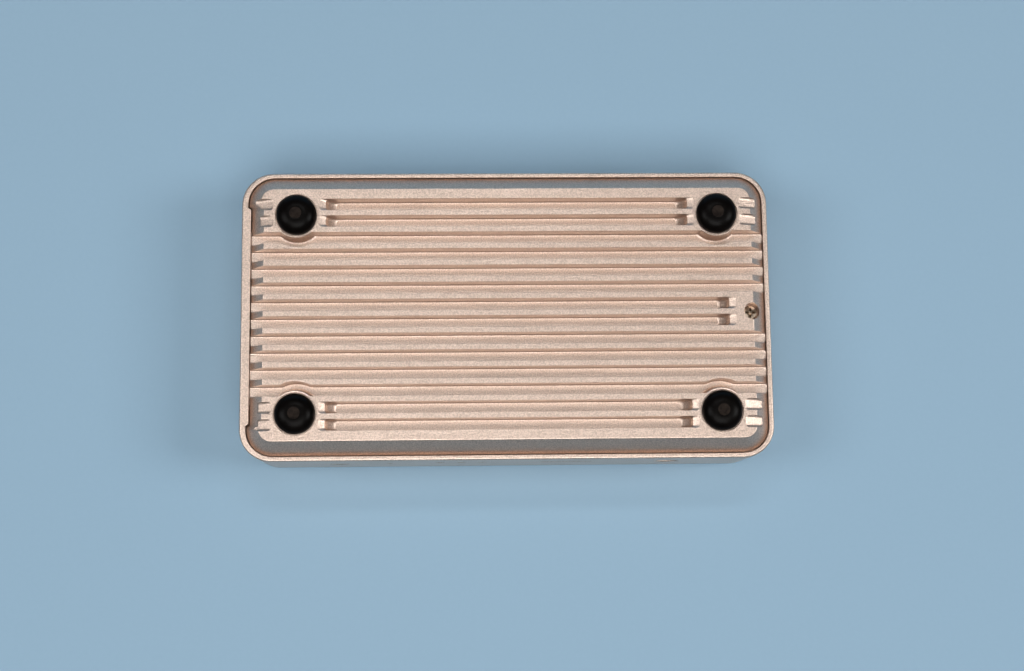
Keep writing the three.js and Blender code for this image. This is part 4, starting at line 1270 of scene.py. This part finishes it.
def padRows(low, high, count, pitch, out):  # solder pads along the four sides of a chip
    x, y, _ = middle(low, high)
    rows = []
    for turn in range(4):
        reach = (high.y - low.y) / 2 if turn % 2 == 0 else (high.x - low.x) / 2
        pad = softBlock("pad", -0.12, 0.12, -out, 0.15, low.z, low.z + 0.06, 0.02)
        pad.data.transform(Matrix.Rotation(math.pi / 2 * turn, 4, "Z"))
        along = Vector(((1, 0, 0), (0, 1, 0))[turn % 2])
        across = Vector(((0, -1, 0), (1, 0, 0), (0, 1, 0), (-1, 0, 0))[turn])
        first = Vector((x, y, 0)) + across * (reach - 0.05) - along * pitch * (count - 1) / 2
        rows.append(rowOf("pads", pad, count, first, along * pitch, tin))
    return rows


def chipPiece(node, title, pads=0, pitch=0.5):
    low, high = boxOf(node)
    inset = 0.12 if pads else 0.0
    body = softBlock(title, low.x + inset, high.x - inset, low.y + inset, high.y - inset, low.z + 0.02,
                     high.z, 0.08, 0.2)
    dot = lathe("dot", [(0, high.z - 0.05), (0.28, high.z - 0.05), (0.32, high.z + 0.5), (0, high.z + 0.5)],
                (low.x + 1.0, high.y - 1.0), 24)
    carve(body, [dot])
    parts = [paint(body, chipBlack)]
    if pads:
        parts += padRows(low, high, pads, pitch, 0.1)
    return assemble(title, parts, "root", "chip", node)


low, high = boxOf("processor")
parts = [paint(softBlock("substrate", low.x, high.x, low.y, high.y, low.z, low.z + 0.6, 0.05, 0.15),
               substrate),
         paint(softBlock("lid", low.x + 0.9, high.x - 0.9, low.y + 0.9, high.y - 0.9, low.z + 0.5, high.z,
                         0.12, 0.5),
               chipBlack)]
cap = softBlock("part", -0.3, 0.3, -0.16, 0.16, 0, 0.3, 0.03)
parts.append(rowOf("caps", cap, 12, (low.x + 2.5, low.y + 0.45, low.z + 0.58), (1.1, 0, 0), ceramic))
assemble("processor", parts, "root", "chip", "processor")
low, high = boxOf("thermal_pad")
foam = softBlock("thermalPad", *spans(low, high), 0.2, 0.4, "Z", 4)
dress(foam, padFoam, "root", "pad", "thermal_pad")
for node, title, pads in (("memory_chip_1", "memoryChip1", 0), ("memory_chip_2", "memoryChip2", 0),
                          ("storage_chip", "storageChip", 0), ("power_controller", "powerController", 12),
                          ("ethernet_controller_1", "networkController1", 10),
                          ("ethernet_controller_2", "networkController2", 10)):
    chipPiece(node, title, pads)
for i in (1, 2, 3):
    low, high = boxOf("inductor_%d" % i)
    x, y, _ = middle(low, high)
    h = (high.x - low.x) / 2
    core = softBlock("inductor%d" % i, low.x + 0.08, high.x - 0.08, low.y, high.y, low.z + 0.05, high.z,
                     0.15, 0.6)
    parts = [paint(core, ferrite)]
    for side in (-1, 1):
        parts.append(paint(softBlock("clip", x + side * (h - 0.1) - 0.1, x + side * (h - 0.1) + 0.1, y - 1.1,
                                     y + 1.1, low.z, low.z + 1.2, 0.04), tin))
    assemble("inductor%d" % i, parts, "root", "ferrite", "inductor_%d" % i)
low, high = boxOf("debug_header")
x, y, _ = middle(low, high)
parts = [paint(softBlock("debugHeader", low.x, high.x, low.y, high.y, high.z - 1.6, high.z, 0.15, 0.2),
               black)]
pin = softBlock("pin", -0.3, 0.3, -0.3, 0.3, low.z, high.z - 1, 0.12, 0.13)
parts.append(rowOf("pins", pin, 3, (x - 2.54, y, 0), (2.54, 0, 0), gold))
assemble("debugHeader", parts, "root", "black", "debug_header")
low, high = boxOf("clock_battery")
x, y, _ = middle(low, high)
can = lathe("clockBattery", [(0, low.z + 0.08), (4.6, low.z + 0.08), (4.7, low.z), (6.0, low.z),
                             (6.25, low.z + 0.2),
                             (6.25, high.z - 0.15), (6.1, high.z), (0, high.z)], (x, y), 64)
dress(can, steel, "root", "cell", "clock_battery")

slotLooks = {"anodised": anodised, "rubber": rubber, "steel": steel, "tin": tin, "board": boardMask,
             "chip": chipBlack, "black": black, "blue": blue, "pad": padFoam, "ferrite": ferrite,
             "cell": steel, "clear": clear, "light": phosphor}
for part in frame["record"]["subparts"]:
    kept = bpy.data.objects.get(part["node"])
    if kept and not kept.hide_render:
        for materialSlot in kept.material_slots:
            materialSlot.material = slotLooks[part["material_slot"]]

print("stage: floor, light and camera")

floorLook = {"size": 6.0, "colour": (0.305, 0.454, 0.582, 1)}


def matLook(place):
    nap = place.noise(900, 3.0)
    return {
        "Base Color": nap.blend((0.303, 0.457, 0.592, 1), (0.317, 0.473, 0.611, 1)),
        "Roughness": 0.62 + nap * 0.08,
    }


floorMat = makeMaterial("floor", {"Specular IOR Level": 0.05, "Base Color": floorLook["colour"]}, matLook)
half = floorLook["size"] / 2 / mm
floor = makeObject("floor", [(-half, -half, -0.05), (half, -half, -0.05), (half, half, -0.05),
                             (-half, half, -0.05)], [(0, 1, 2, 3)])
paint(floor, floorMat)

lights = {
    "front": {"size": (0.75, 0.45), "at": (0.0, -0.48, 0.95), "power": 4.9, "colour": (1.0, 0.985, 0.965)},
    "right": {"size": (0.42, 0.5), "at": (0.90, -0.05, 0.86), "power": 5.3, "colour": (1.0, 0.99, 0.98)},
    "left": {"size": (0.42, 0.5), "at": (-0.71, -0.05, 0.88), "power": 3.4, "colour": (1.0, 0.99, 0.98)},
    "back": {"size": (0.50, 0.10), "at": (0.0, 0.41, 0.95), "power": 1.2, "colour": (1.0, 0.99, 0.98)},
    "top": {"size": (1.1, 0.4), "at": (0.0, -0.24, 1.10), "power": 1.85, "colour": (1.0, 0.99, 0.98),
            "card": True},
    "window": {"size": (2.4, 0.7), "at": (0.0, 1.6, 0.42), "power": 6.0, "colour": (0.24, 0.62, 1.0),
               "card": True},
}
for name, setting in lights.items():
    lamp = bpy.data.lights.new(name, "AREA")
    lamp.shape = "RECTANGLE"
    lamp.size, lamp.size_y = setting["size"]
    lamp.energy = setting["power"]
    lamp.color = setting["colour"]
    holder = bpy.data.objects.new(name, lamp)
    holder.location = setting["at"]
    holder.rotation_euler = (Vector((0, 0, 0)) - holder.location).to_track_quat("-Z", "Y").to_euler()
    scene.collection.objects.link(holder)
    holder.visible_diffuse = not setting.get("card")  # a card only shows in what shines

world = bpy.data.worlds.new("world")
world.use_nodes = True
world.node_tree.nodes["Background"].inputs["Color"].default_value = (0.80, 0.86, 0.92, 1)
world.node_tree.nodes["Background"].inputs["Strength"].default_value = 0.08
scene.world = world
scene.view_settings.view_transform = "Standard"

camera = {"at": (-10.84, -58.04, 380.33), "turn": (8.416, -1.895, -0.378), "lens": 54.1}
lens = bpy.data.cameras.new("camera")
lens.lens = camera["lens"]
lens.sensor_width = 36
lens.clip_start, lens.clip_end = 0.01, 20
eye = bpy.data.objects.new("camera", lens)
eye.location = Vector(camera["at"]) * mm
turn = [Matrix.Rotation(math.radians(angle), 4, axis) for angle, axis in zip(camera["turn"], "XYZ")]
eye.rotation_euler = (turn[0] @ turn[1] @ turn[2]).to_euler()
scene.collection.objects.link(eye)
scene.camera = eye
